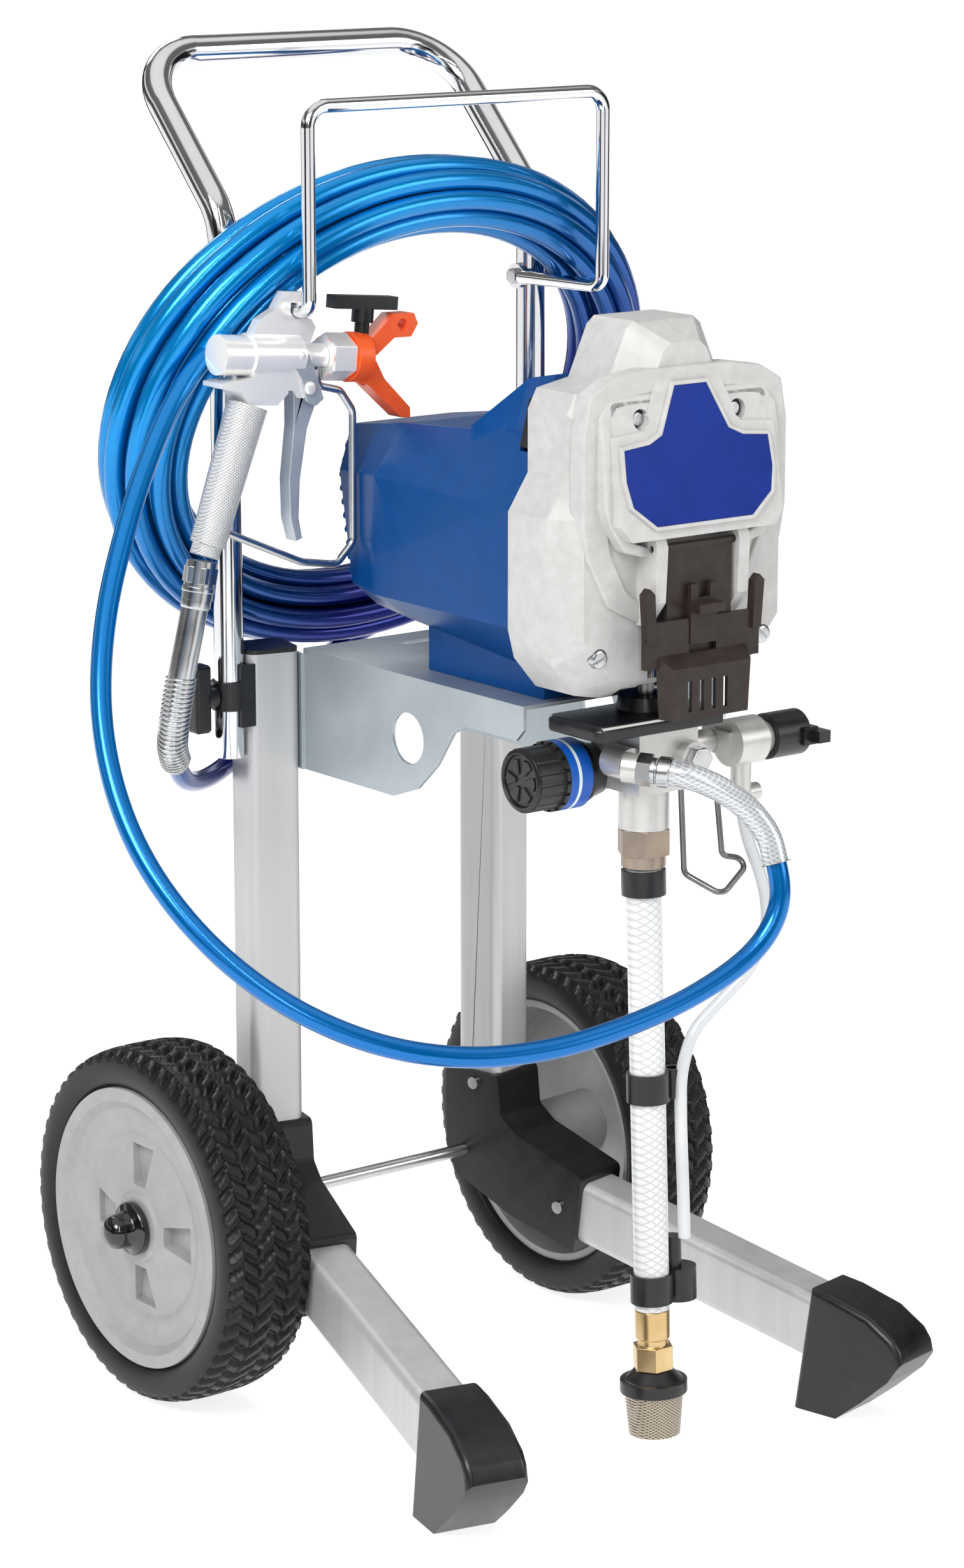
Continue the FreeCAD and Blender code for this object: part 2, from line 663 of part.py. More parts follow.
def build_motor_cover():
    """Blue faceted shell over the motor, open towards the front cover."""
    rear, front = size("cover_rear") + 8, size("cover_front")

    def section(y, low_half, low, side_half, side_low, side_high, top_half, top):
        half = [(low_half, low), (side_half, side_low), (side_half, side_high), (top_half, top)]
        ring = half + [(-x, z) for x, z in reversed(half)]
        return [(x, y, z) for x, z in ring]

    def body(shrink):
        s = shrink
        return loft([
            section(rear, 44 - s, 566 + s, 54 - s, 581 + s, 652 - s, 42 - s, 682 - s),
            section(-112, 54 - s, 560 + s, 84 - s, 580 + s, 661 - s, 55 - s, 694 - s),
            section(front, 62 - s, 548 + s, 92 - s, 582 + s, 659 - s, 66 - s, 706 - s),
        ])

    outer = body(0)
    slant = side_prism([(30, 520), (30, 760), (-26, 760), (-31, 681), (-66, 581), (-72, 520)], 150)
    outer = outer.cut(slant)
    hump = loft([
        [(-66, -196, 690), (66, -196, 690), (66, -196, 703), (-66, -196, 703)],
        [(-66, -240, 690), (66, -240, 690), (52, -240, 738), (-52, -240, 738)],
        [(-70, front, 690), (70, front, 690), (56, front, 744), (-56, front, 744)],
    ])
    pedestal = loft([
        [(-60, -141, 530.2), (60, -141, 530.2), (54, -133, 575), (-54, -133, 575)],
        [(-60, front + 6, 530.2), (60, front + 6, 530.2), (62, front, 575), (-62, front, 575)],
    ])
    wall = size("cover_wall")
    inside = body(wall).cut(slant.translated(V(0, -wall, 0)))
    hump_inside = loft([
        [(-62, -200, 680), (62, -200, 680), (61, -200, 701), (-61, -200, 701)],
        [(-62, -240, 680), (62, -240, 680), (49, -240, 735), (-49, -240, 735)],
        [(-66, front, 680), (66, front, 680), (53, front, 741), (-53, front, 741)],
    ])
    shell = outer.multiFuse([hump, pedestal]).cut(inside.fuse(hump_inside))
    switch_gap = switch_block(24, 12.6, 37)
    switch_gap.Placement = FreeCAD.Placement(V(*SWITCH_PIVOT), SWITCH_LEAN)
    inlet_gap = Part.makeCylinder(13, 40, V(30, -34, 630), Y_AXIS * -1)
    finish(feature("motor_cover", shell.cut(switch_gap.fuse(inlet_gap))), "motor_cover")


def cover_half_outline(inset=0.0, low=538.0):
    i = inset
    return [(0, low + i), (52 - i, low + i), (72 - i, 542 + i), (90 - i, 563 + i), (95 - i, 582),
            (95 - i, 659), (79 - i, 683), (79 - i, 724 - i), (72 - i, 737 - i), (46 - i, 742 - i),
            (31 - i, 775 - i), (25 - i, 780 - i), (0, 780 - i)]


def door_post(x):
    """Upright fin beside the door, with a sloped foot and a rounded top."""
    side = [(-324, 588), (-340, 588), (-353, 604), (-355, 640), (-351, 649), (-342, 653),
            (-324, 653)]
    corners = [V(x, y, z) for y, z in side + side[:1]]
    return Part.Face(Part.makePolygon(corners)).extrude(V(9, 0, 0))


def build_front_cover():
    """Light grey cast-look cover: side walls, a stepped front and a raised label seat."""
    rear, step, face = size("cover_front") - 0.4, -312.0, -334.0

    def ring(y, inset):
        return [(x, y, z) for x, z in mirror_outline(cover_half_outline(inset))]

    outer = loft([ring(rear, 0), ring(step, 0), ring(face, 13)])
    seat_side = [(-320, 648), (-356, 646), (-336, 748), (-320, 752)]
    seat = side_prism(seat_side, 68)
    seat_front = prism(mirror_outline([(0, 630), (50, 634), (68, 656), (68, 712), (40, 714),
                                       (24, 750), (0, 750)]), -315, -360)
    seat = seat.common(seat_front)
    posts = [door_post(x) for x in (-39.0, 30.0)]
    inside = loft([ring(rear + 1, 4), ring(step + 2, 4), ring(face + 4, 17)])
    shell = outer.multiFuse([seat] + posts).cut(inside)
    door_gap = Part.makeBox(58, 40, 96, V(-29, -358, 532))
    mouth = Part.makeBox(84, 70, 14, V(-42, -335, 530))
    hinge = Part.makeCylinder(2.6, 90, V(-45, -348.5, 639), X_AXIS)
    holes = []
    for x in (-40.5, 40.5):
        holes.append(Part.makeCylinder(5.0, 14, V(x, -346, 721), Y_AXIS))
    for x in (-69.0, 69.0):
        holes.append(Part.makeCylinder(6.5, 8, V(x, -337, 569), Y_AXIS))
    shell = shell.cut(door_gap.multiFuse([mouth, hinge] + holes))
    solids = sorted(shell.Solids, key=lambda s: s.Volume)
    finish(feature("front_cover", solids[-1]), "front_cover")


def label_outline():
    return mirror_outline([(0, 654), (40, 654), (58, 668), (61.5, 684), (60.5, 704), (39, 706),
                           (28, 711), (13.5, 741), (0, 741)])


def build_label_panel():
    """Plain moulded panel on the slanted label seat."""
    slab = side_prism([(-357.33, 640), (-358.98, 640), (-337.41, 750), (-335.76, 750)], 80)
    panel = slab.common(prism(label_outline(), -320, -370))
    finish(feature("label_panel", panel), "label_panel")


def build_cover_screws():
    """Two recessed screws above and two pan-head screws below."""
    screws = []
    for k, x in enumerate((-40.5, 40.5)):
        screws.append(part_cylinder(f"upper_screw_{k}", 4.0, 3.8, (x, -336, 721), Y_AXIS))
    for k, x in enumerate((-69.0, 69.0)):
        screws.append(part_cylinder(f"lower_screw_{k}", 6.0, 4.5, (x, -333.8, 569), Y_AXIS))
    group = doc.addObject("Part::Compound", "cover_screws")
    group.Links = screws
    finish(group, "cover_screws")


def switch_block(deep, wide, tall):
    """Box about its own middle, for the rocker and for the gap around it."""
    return Part.makeBox(deep, wide, tall, V(-deep / 2, -wide / 2, -tall / 2))


def build_power_switch():
    """Rocker in the side of the cover's hump, with ends rounded about its pivot."""
    ends = Part.makeCylinder(16.5, 12, V(0, -6, 0), Y_AXIS)
    rocker = switch_block(8, 11.6, 33).common(ends)
    finish(feature("power_switch", rocker), "power_switch", SWITCH_LEAN, SWITCH_PIVOT)


def build_cord_inlet():
    """Recessed mains inlet in the rear of the motor cover."""
    ring = part_cylinder("inlet_ring", 12.6, 12, (30, -44, 630), Y_AXIS * -1)
    well = part_cylinder("inlet_well", 9.5, 8, (30, -44, 630), Y_AXIS * -1)
    pins = [part_cylinder(f"inlet_pin_{k}", 1.6, 7, (x, -53, z), Y_AXIS)
            for k, (x, z) in enumerate(((26, 628), (34, 628), (30, 634)))]
    finish(join("cord_inlet", cut("inlet_cup", ring, well), *pins), "cord_inlet")


def build_motor():
    """Motor can with a front bearing plate for the motor shaft and the gear."""
    z = size("motor_height")
    can = part_cylinder("motor_can", size("motor_radius"), 130, (0, -250, z), Y_AXIS)
    bind(can, {"Radius": "Sizes.motor_radius"})
    plate = part_box("motor_plate", (-44, -262, z - 72), (44, -250, z + 40))
    shaft_bore = part_cylinder("motor_bore", size("shaft_radius") + 0.05, 160,
                               (0, -265, z), Y_AXIS)
    gear_z = z - size("pinion_radius") - size("gear_radius") - 0.25
    gear_bore = part_cylinder("gear_bore", 6.05, 20, (0, -265, gear_z), Y_AXIS)
    finish(cut("motor_body", join("motor_solid", can, plate), shaft_bore, gear_bore),
           "motor_body")


def build_motor_shaft():
    """Shaft with the pinion at the front and the cooling fan at the rear."""
    z = size("motor_height")
    shaft = part_cylinder("shaft_rod", size("shaft_radius"), 205, (0, -288, z), Y_AXIS)
    bind(shaft, {"Radius": "Sizes.shaft_radius"})
    pinion = part_cylinder("shaft_pinion", size("pinion_radius"), 12, (0, -288, z), Y_AXIS)
    bind(pinion, {"Radius": "Sizes.pinion_radius"})
    fan = part_cylinder("shaft_fan", 26, 8, (0, -92, z), Y_AXIS)
    finish(join("motor_shaft", shaft, pinion, fan), "motor_shaft")


def build_drive_gear():
    """Gear with its stub shaft behind and the crank pin in front."""
    z = size("motor_height") - size("pinion_radius") - size("gear_radius") - 0.25
    disc = part_cylinder("gear_disc", size("gear_radius"), 10, (0, -287, z), Y_AXIS)
    bind(disc, {"Radius": "Sizes.gear_radius"})
    stub = part_cylinder("gear_stub", 6, 34, (0, -287, z), Y_AXIS)
    pin = part_cylinder("crank_pin", 4, 13, (size("crank_throw"), -300, z), Y_AXIS)
    finish(join("drive_gear", disc, stub, pin), "drive_gear")


def build_piston_yoke():
    """Scotch yoke and piston rod. The window clears the crank pin all the way round."""
    z = size("motor_height") - size("pinion_radius") - size("gear_radius") - 0.25
    y = size("pump_y")
    frame = part_box("yoke_frame", (-20, y - 5, z - 19), (20, y + 5, z + 19))
    window = part_box("yoke_window", (-13, y - 8, z - 13), (13, y + 8, z + 13))
    rod = part_cylinder("yoke_rod", size("rod_radius"), z - 19 - 466, (0, y, 466))
    bind(rod, {"Radius": "Sizes.rod_radius"})
    finish(join("piston_yoke", cut("yoke_ring", frame, window), rod), "piston_yoke")


# ================================================================ pump
def door_ear(side):
    """Finger clip that stands on the end of the door's cross wing and leans outwards."""
    front = [(40.5, 580), (47.5, 580), (50, 611), (46, 615), (42, 611)]
    corners = [V(side * x, -357, z) for x, z in front + front[:1]]
    return Part.Face(Part.makePolygon(corners)).extrude(V(0, 6.5, 0))


def build_pump_door():
    """Dark moulded door over the pump: hinged at the top, ribbed guard at the bottom."""
    leaf = Part.makeBox(54, 4, 66, V(-27, -350.5, 566))
    barrel = Part.makeCylinder(2.5, 74, V(-37, -348.5, 639), X_AXIS)
    web = Part.makeBox(54, 4, 14, V(-27, -350.5, 625))
    wings = Part.makeBox(96, 4, 30, V(-48, -354.5, 562))
    guard = loft([
        [(-34, -352, 528), (34, -352, 528), (38, -352, 572), (-38, -352, 572)],
        [(-31, -364, 528), (31, -364, 528), (33, -364, 562), (-33, -364, 562)],
    ])
    hollow = Part.makeBox(56, 9, 30, V(-28, -361, 525))
    slits = [Part.makeBox(3.6, 10, 20, V(x, -368, 533)) for x in (-20, -10, 0, 10)]
    tab_gap = Part.makeBox(22.8, 12, 46, V(-11.4, -362.5, 569.5))
    ears = [door_ear(side) for side in (-1, 1)]
    door = leaf.multiFuse([barrel, web, wings, guard] + ears)
    door = door.cut(hollow.multiFuse(slits + [tab_gap]))
    finish(feature("pump_door", door.Solids[0]), "pump_door")


def build_door_latch():
    """Two-pronged thumb tab that slides in the door."""
    tab = Part.makeBox(22, 4.8, 30, V(-11, -355.6, 575))
    lip = Part.makeBox(22, 9, 6, V(-11, -364.5, 596))
    prongs = [Part.makeBox(6, 4, 10, V(x, -355.6, 604)) for x in (-11, 5)]
    finish(feature("door_latch", tab.multiFuse([lip] + prongs)), "door_latch")


def build_pump_block():
    """Cast pump body: cylinder, manifold block, bosses and the dark shroud above them."""
    y, low = size("pump_y"), size("inlet_top")
    radius = size("pump_radius")
    cylinder = Part.makeCylinder(radius, 528 - low, V(0, y, low))
    block = Part.makeBox(50, 50, 44, V(-25, -322, 470))
    knob_boss = Part.makeCylinder(15, 26, V(-40, size("knob_y"), size("knob_z")), X_AXIS)
    outlet_boss = Part.makeCylinder(11, 20, V(-30, -300, 492), Y_AXIS * -1)
    outlet_seat = V(*OUTLET) - V(*OUTLET_TURN).normalize() * 10
    outlet_turned = Part.makeCylinder(10, 10, outlet_seat, V(*OUTLET_TURN))
    arm = Part.makeCylinder(8, 30, V(14, size("valve_y") + 14, size("valve_z")), X_AXIS)
    plug = Part.makeCylinder(11, 12, V(16, -330, 492), Y_AXIS)
    shroud = Part.makeBox(104, 56, 6, V(-62, -330, 516))
    whole = cylinder.multiFuse([block, knob_boss, outlet_boss, outlet_turned, arm, plug, shroud])
    bore = Part.makeCylinder(size("rod_radius") + 0.05, 80, V(0, y, 456))
    passage = Part.makeCylinder(5, 20, V(0, y, low - 1))
    finish(feature("pump_block", whole.cut(bore.fuse(passage))), "pump_block")


def build_block_plug():
    """Hexagonal plug in the front of the pump block."""
    plug = part_hex("block_plug", 15, 8, (0, 0, 0))
    finish(plug, "block_plug", FreeCAD.Rotation(Z_AXIS, Y_AXIS * -1), (16, -330.1, 492))


def build_pressure_knob():
    """Ribbed knob with a coloured ring, turning on the pump block's side boss."""
    y, z = size("knob_y"), size("knob_z")
    grip = part_cylinder("knob_grip", 21.5, 32, (-83, y, z), X_AXIS)
    ring = part_cylinder("knob_ring", 23.5, 22, (-63, y, z), X_AXIS)
    skirt = part_cylinder("knob_skirt", 21, 2, (-42.5, y, z), X_AXIS)
    flutes = [
        part_cylinder(f"knob_flute_{k}", 1.6, 24,
                      (-84, y + 22.3 * math.cos(k * math.pi / 9), z + 22.3 * math.sin(k * math.pi / 9)),
                      X_AXIS)
        for k in range(18)
    ]
    finish(cut("pressure_knob", join("knob_solid", grip, ring, skirt), *flutes),
           "pressure_knob")


def build_outlet_fitting():
    """Hose outlet: a hexagonal fitting that points forward and a little to the right."""
    along = V(*OUTLET_TURN).normalize()
    nut = part_hex("outlet_nut", 19, 9, tuple(V(*OUTLET) + along * 0.1), along)
    collar = part_cylinder("outlet_collar", 8.8, 3, tuple(V(*OUTLET) + along * 9.1), along)
    finish(join("outlet_fitting", nut, collar), "outlet_fitting")


def build_prime_valve():
    """Body of the prime valve with the drain stem below it."""
    y, z = size("valve_y"), size("valve_z")
    body = part_cylinder("valve_body", 16, 24, (48, y, z), X_AXIS)
    neck = part_cylinder("valve_neck", 11, 8, (72, y, z), X_AXIS)
    link = part_box("valve_link", (44.2, y - 6, z - 8), (56, y + 22, z + 8))
    stem = part_cylinder("drain_stem", 7, 26, (60, y, z - 36))
    elbow = part_cylinder("drain_elbow", 6, 14, (60, y, z - 36), X_AXIS)
    finish(join("prime_valve", body, neck, link, stem, elbow), "prime_valve")


def build_prime_knob():
    """Lever knob on the end of the prime valve."""
    y, z = size("valve_y"), size("valve_z")
    drum = part_cylinder("prime_drum", 15.5, 28, (80.3, y, z), X_AXIS)
    lever = part_box("prime_lever", (100, y - 18, z - 6), (112, y + 4, z + 6))
    tip = part_box("prime_tip", (106, y - 26, z - 4), (116, y - 12, z + 4))
    finish(join("prime_knob", drum, lever, tip), "prime_knob")


def lean_frame():
    """The suction set hangs from the inlet and leans a little to the front."""
    return FreeCAD.Rotation(X_AXIS, -size("suction_lean"))


def build_inlet_nut():
    y, top = size("pump_y"), size("inlet_top")
    nut = part_hex("inlet_hex", 32, 18, (0, y, top - 18.1))
    collar = part_cylinder("inlet_collar", 15, 9, (0, y, top - 26.5))
    bore = part_cylinder("inlet_bore", 6, 40, (0, y, top - 30))
    finish(cut("inlet_nut", join("inlet_solid", nut, collar), bore), "inlet_nut")


def hang(node, label):
    """Places a suction-set piece that was made about the inlet, with Z = 0 at its mouth."""
    y, top = size("pump_y"), size("inlet_top")
    finish(node, label, lean_frame(), (0, y, top - 28))
    return node


def build_suction_set():
    radius, length = size("suction_radius"), size("suction_length")
    tube = cut("suction_tube",
               part_cylinder("suction_outer", radius, length, (0, 0, -length)),
               part_cylinder("suction_inner", radius - 2.5, length + 2, (0, 0, -length - 1)))
    hang(tube, "suction_tube")
    barb = part_cylinder("barb", 11.8, 20, (0, 0, -length - 20.1))
    neck = part_cylinder("coupling_neck", 10.5, 8, (0, 0, -length - 26))
    hexagon = part_hex("coupling_hex", 25, 17, (0, 0, -length - 42))
    bore = part_cylinder("coupling_bore", 7, 60, (0, 0, -length - 50))
    hang(cut("tube_coupling", join("coupling_solid", barb, neck, hexagon), bore),
         "tube_coupling")
    flange = part_cylinder("strainer_flange", 23, 9, (0, 0, -length - 58))
    throat = part_cone("strainer_throat", 20, 13, 7, (0, 0, -length - 49.2))
    hole = part_cylinder("strainer_hole", 7, 30, (0, 0, -length - 60))
    hang(cut("strainer_cap", join("strainer_solid", flange, throat), hole), "strainer_cap")
    basket = part_cone("basket_outer", 17.5, 20, 29, (0, 0, -length - 87.2))
    hollow = part_cone("basket_inner", 16, 18.5, 28, (0, 0, -length - 85.7))
    hang(cut("strainer_mesh", basket, hollow), "strainer_mesh")


def drain_points():
    y, z = size("valve_y"), size("valve_z")
    return [(60, y, z - 43.2), (63, y - 4, 430), (76, y - 6, 400), (83, y - 4, 368),
            (74, y + 2, 338), (52, y + 8, 318), (31, y + 12, 300), (21.5, y + 13, 272),
            (20.5, y + 11, 235), (20.5, y + 8, 195), (20.5, y + 6, 158)]


def build_drain_tube():
    points = drain_points()
    shape = sweep(route_edges(points, cord_radii(points)), 4.2)
    finish(feature("drain_tube", shape), "drain_tube")


def build_tube_clips():
    """Collar clip at the inlet, mid clip and lower ring clip, on the suction tube."""
    radius, length = size("suction_radius"), size("suction_length")
    clips = []
    for k, (z, high, wall) in enumerate(((-18, 17, 3), (-160, 20, 2.5), (-length + 5, 20, 2.5))):
        ring = part_cylinder(f"clip_ring_{k}", radius + wall, high, (0, 0, z))
        parts = [ring]
        if k == 1:
            parts.append(part_cylinder("clip_mid_ear", 7.5, high, (20.5, -2, z)))
        if k == 2:
            parts.append(part_cylinder("clip_low_ear", 12.5, high + 3, (25, 2, z - 3)))
            parts.append(part_cylinder("clip_low_elbow", 6, 22, (20.5, 2, z + high)))
        bore = part_cylinder(f"clip_bore_{k}", radius + 0.05, 60, (0, 0, z - 20))
        tools = [bore]
        if k == 1:
            tools.append(part_cylinder("clip_mid_hole", 4.35, 60, (20.5, -2, z - 20)))
        clips.append(cut(f"clip_{k}", join(f"clip_solid_{k}", *parts), *tools))
    group = doc.addObject("Part::Compound", "tube_clips")
    group.Links = clips
    hang(group, "tube_clips")


def build_pail_hook():
    """Spring wire hanger below the pump block."""
    points = [(19, -312, 470), (21, -314, 410), (34, -338, 398), (66, -330, 416),
              (47, -322, 420), (44, -318, 470)]
    wire = sweep(route_edges(points, [6, 7, 6, 5]), 2.0)
    finish(feature("pail_hook", wire), "pail_hook")


# ================================================================ hose
OUTLET = (-33, -331, 491.8)
OUTLET_TURN = (0.58, -0.81, -0.06)
SLEEVE_ROUTE = [(-25.8, -341.1, 491.1), (-15, -356, 490), (-1, -372, 483), (13, -386, 470),
                (22, -397, 452), (23.5, -402.5, 434.5)]
FRONT_ROUTE = [(23.5, -402.6, 434.2), (24.5, -407, 420), (20, -408.5, 401), (6, -407, 382),
               (-19, -403, 366), (-55, -398, 352), (-100, -392, 341.5), (-150, -384, 335),
               (-205, -369, 336), (-260, -346, 350), (-306, -309, 378), (-337, -264, 418),
               (-351, -216, 469), (-343, -171, 529), (-316, -135, 592), (-275, -104, 652),
               (-238, -80, 694), (-204, -62, 726)]
GUN_ROUTE = [(40, 51, 534), (2, 53, 508), (-40, 52, 476), (-80, 43, 450), (-116, 27, 438),
             (-148, 3, 439), (-176, -20, 446), (-196, -40, 458), (-207, -53, 470)]


def build_hose():
    """The hose's own solids: sleeve, front run, coil and the run up to the gun."""
    diameter = size("hose_diameter")
    sleeve = sweep(route_edges(SLEEVE_ROUTE, cord_radii(SLEEVE_ROUTE)), diameter / 2 + 1.5)
    finish(feature("hose_sleeve", sleeve), "hose_sleeve")
    finish(cord_tube("hose_front_run", FRONT_ROUTE, diameter), "hose_front_run")
    finish(cord_tube("hose_gun_run", GUN_ROUTE, diameter), "hose_gun_run")
    half_width, rise = size("coil_half_width"), size("coil_half_height")
    lean, z, y = size("coil_lean"), size("coil_height"), size("handle_y")
    up = V(0, -lean, rise)
    ring = Part.Ellipse(V(0, 0, 0), half_width, up.Length)
    path = ring.toShape()
    tilt = FreeCAD.Rotation(X_AXIS, 90 + math.degrees(math.atan2(lean, rise)))
    path.Placement = FreeCAD.Placement(V(0, y, z), tilt)
    section = Part.Wire(Part.makeCircle(size("coil_section"), path.valueAt(0), path.tangentAt(0)))
    coil = Part.Wire(path).makePipeShell([section], True, False)
    finish(feature("hose_coil", coil), "hose_coil")


# ================================================================ gun
def gun_finish(shape, label):
    """The gun is built about its hook, barrel along +X, then tilted and hung on the rack."""
    node = feature(label, shape)
    turn = FreeCAD.Rotation(Y_AXIS, size("gun_tilt"))
    finish(node, label, turn, (size("gun_x"), size("gun_y"), size("gun_z")))
    return node


def build_gun_body():
    """Cast body: rear cap, barrel, hook over the rack and the spur above the grip."""
    cap = Part.makeCylinder(13.5, 24, V(-60, 0, 0), X_AXIS)
    barrel = Part.makeCylinder(15, 40, V(-37, 0, 0), X_AXIS)
    snout = Part.makeCone(15, 9, 10, V(2, 0, 0), X_AXIS)
    neck = Part.makeCylinder(9, 14, V(11, 0, 0), X_AXIS)
    outline = [(-38, 8), (-30, 24), (-18, 31), (-12, 43), (6, 43), (9, 36.4), (-5.5, 35.8),
               (-5.5, 29.5), (-2, 25.2), (12, 25.2), (16, 20), (12, 8)]
    hook = plate(outline, 4)
    spur = plate([(-62, -18), (-36, -14), (-8, -14), (-8, -24), (-16, -32), (-38, -32),
                  (-46, -24), (-62, -21)], 11)
    core = plate([(-36, 6), (-2, 6), (-4, -22), (-36, -22)], 11)
    body = cap.multiFuse([barrel, snout, neck, hook, spur, core])
    trigger_gap = Part.makeBox(30, 13.4, 40, V(-6, -6.7, -44))
    ears = plate([(-8, -8), (15, -8), (14, -27), (2, -27), (-8, -16)], 11)
    ears = ears.cut(trigger_gap)
    pin = Part.makeCylinder(2.5, 23, V(8, -11.5, -20), Y_AXIS)
    body = body.cut(trigger_gap).multiFuse([ears, pin])
    gun_finish(body, "gun_body")


def plate(outline, half_thickness):
    """Side-view shape of the gun in (x, z), as thick as said both ways from its middle."""
    corners = [V(x, -half_thickness, z) for x, z in outline + outline[:1]]
    return Part.Face(Part.makePolygon(corners)).extrude(V(0, 2 * half_thickness, 0))


def build_gun_grip():
    """Filter housing that is the hand grip, with the hose connector nut at its foot."""
    top, foot = V(-33, 0, -33), V(-58, 0, -126)
    along = foot - top
    grip = Part.makeCone(14, 12, along.Length, top, along)
    collar = Part.makeCylinder(10, 8, foot, along)
    gun_finish(grip.fuse(collar), "gun_grip")


def build_gun_trigger():
    """Two-finger trigger on its pin."""
    outline = [(2, -10), (14, -10), (19, -20), (19, -30), (13, -48), (10, -82), (11, -108),
               (15, -122), (10, -124), (4, -108), (1, -82), (2, -46), (0, -24)]
    lever = plate(outline, 5.9)
    hole = Part.makeCylinder(2.55, 40, V(8, -20, -20), Y_AXIS)
    gun_finish(lever.cut(hole), "gun_trigger")


def build_trigger_guard():
    """Bent wire from the front of the body round to the foot of the grip."""
    points = [(22.8, 0, -6), (22.8, 0, -19.5), (42, 0, -22.5), (53.8, 0, -36), (61.5, 0, -126),
              (49, 0, -141), (20, 0, -139), (-50, 0, -116)]
    wire = sweep(route_edges(points, [5, 9, 10, 9, 9, 30]), 2.6)
    gun_finish(wire, "trigger_guard")


def build_tip_guard():
    """Retaining nut and orange safety guard with two wings, turning on the barrel."""
    nut = Part.makeCylinder(14, 20, V(26, 0, 0), X_AXIS)
    saddle = Part.makeCylinder(17, 12, V(46, 0, 0), X_AXIS)
    upper = plate([(50, 4), (50, 16), (62, 14), (78, 30), (95, 31), (99, 24), (94, 15), (80, 14),
                   (66, 2)], 7)
    lower = plate([(50, -4), (50, -16), (60, -18), (90, -40), (98, -40), (97, -33), (74, -14),
                   (66, -2)], 7)
    window = Part.makeCylinder(4, 30, V(86, -15, 23), Y_AXIS)
    bore = Part.makeCylinder(9.4, 30, V(10, 0, 0), X_AXIS)
    tip_bore = Part.makeCylinder(5.05, 60, V(57, 0, -20))
    mouth = Part.makeCylinder(4, 30, V(50, 0, 0), X_AXIS)
    body = nut.multiFuse([saddle, upper, lower])
    body = body.cut(bore.multiFuse([window, tip_bore, mouth]))
    gun_finish(body, "tip_guard")


def build_spray_tip():
    """Reversible tip: a pin through the guard with a flag handle on top."""
    pin = Part.makeCylinder(5, 36, V(57, 0, -12))
    flag = Part.makeBox(52, 11, 9, V(30, -5.5, 32.5))
    stem = Part.makeCylinder(7.5, 10, V(57, 0, 23.5))
    gun_finish(pin.multiFuse([flag, stem]), "spray_tip")


def build_gun_hose_end():
    """Swivel nut, sleeve and coiled spring guard that takes the hose away from the grip."""
    points = [(-200.5, -78, 611), (-205, -78, 588), (-212, -78, 560), (-219, -77, 530),
              (-222, -73, 500), (-218, -64, 481), (-207, -53, 470)]
    guard = sweep(route_edges(points[1:], cord_radii(points[1:])), 9.0)
    nut = Part.makeCylinder(10.5, 26, V(*points[0]), V(*points[1]) - V(*points[0]))
    finish(feature("gun_hose_end", nut.fuse(guard)), "gun_hose_end")


build_uprights()
build_upright_caps()
build_legs()
build_corner_brackets()
build_bracket_screws()
build_feet()
build_axle()
build_axle_caps()
build_wheels()
build_pump_bracket()
build_handle_guides()
build_handle()
build_hose_rack()
build_rack_bolts()
build_clamp_knobs()
build_motor_cover()
build_front_cover()
build_label_panel()
build_cover_screws()
build_power_switch()
build_cord_inlet()
build_motor()
build_motor_shaft()
build_drive_gear()
build_piston_yoke()
build_pump_door()
build_door_latch()
build_pump_block()
build_block_plug()
build_pressure_knob()
build_outlet_fitting()
build_prime_valve()
build_prime_knob()
build_inlet_nut()
build_suction_set()
build_drain_tube()
build_tube_clips()
build_pail_hook()
build_hose()
build_gun_body()
build_gun_grip()
build_gun_trigger()
build_trigger_guard()
build_tip_guard()
build_spray_tip()
build_gun_hose_end()
doc.recompute()

for item in doc.Objects:
    if "Invalid" in item.State or "Error" in item.State:
        raise RuntimeError(f"{item.Label}: {item.State}")
os.makedirs("parts", exist_ok=True)
for node in NODES:
    shape = node.Shape
    if shape.isNull() or not shape.isValid():
        raise RuntimeError(f"{node.Label} has no valid shape")
    shape.exportStep(f"parts/{node.Label}.step")
print(len(NODES), "sub-parts written")
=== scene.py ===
"""Looks for the cart-mounted airless paint sprayer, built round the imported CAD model.

Places are millimetres in the axle frame, as in the part's source: X across, Y = 0 on the
wheel axle, Z = 0 on the floor. at() turns them into metres in the row frame. Widths of
rounding, wires, bands and boards are metres.
"""

import json
import math
import random

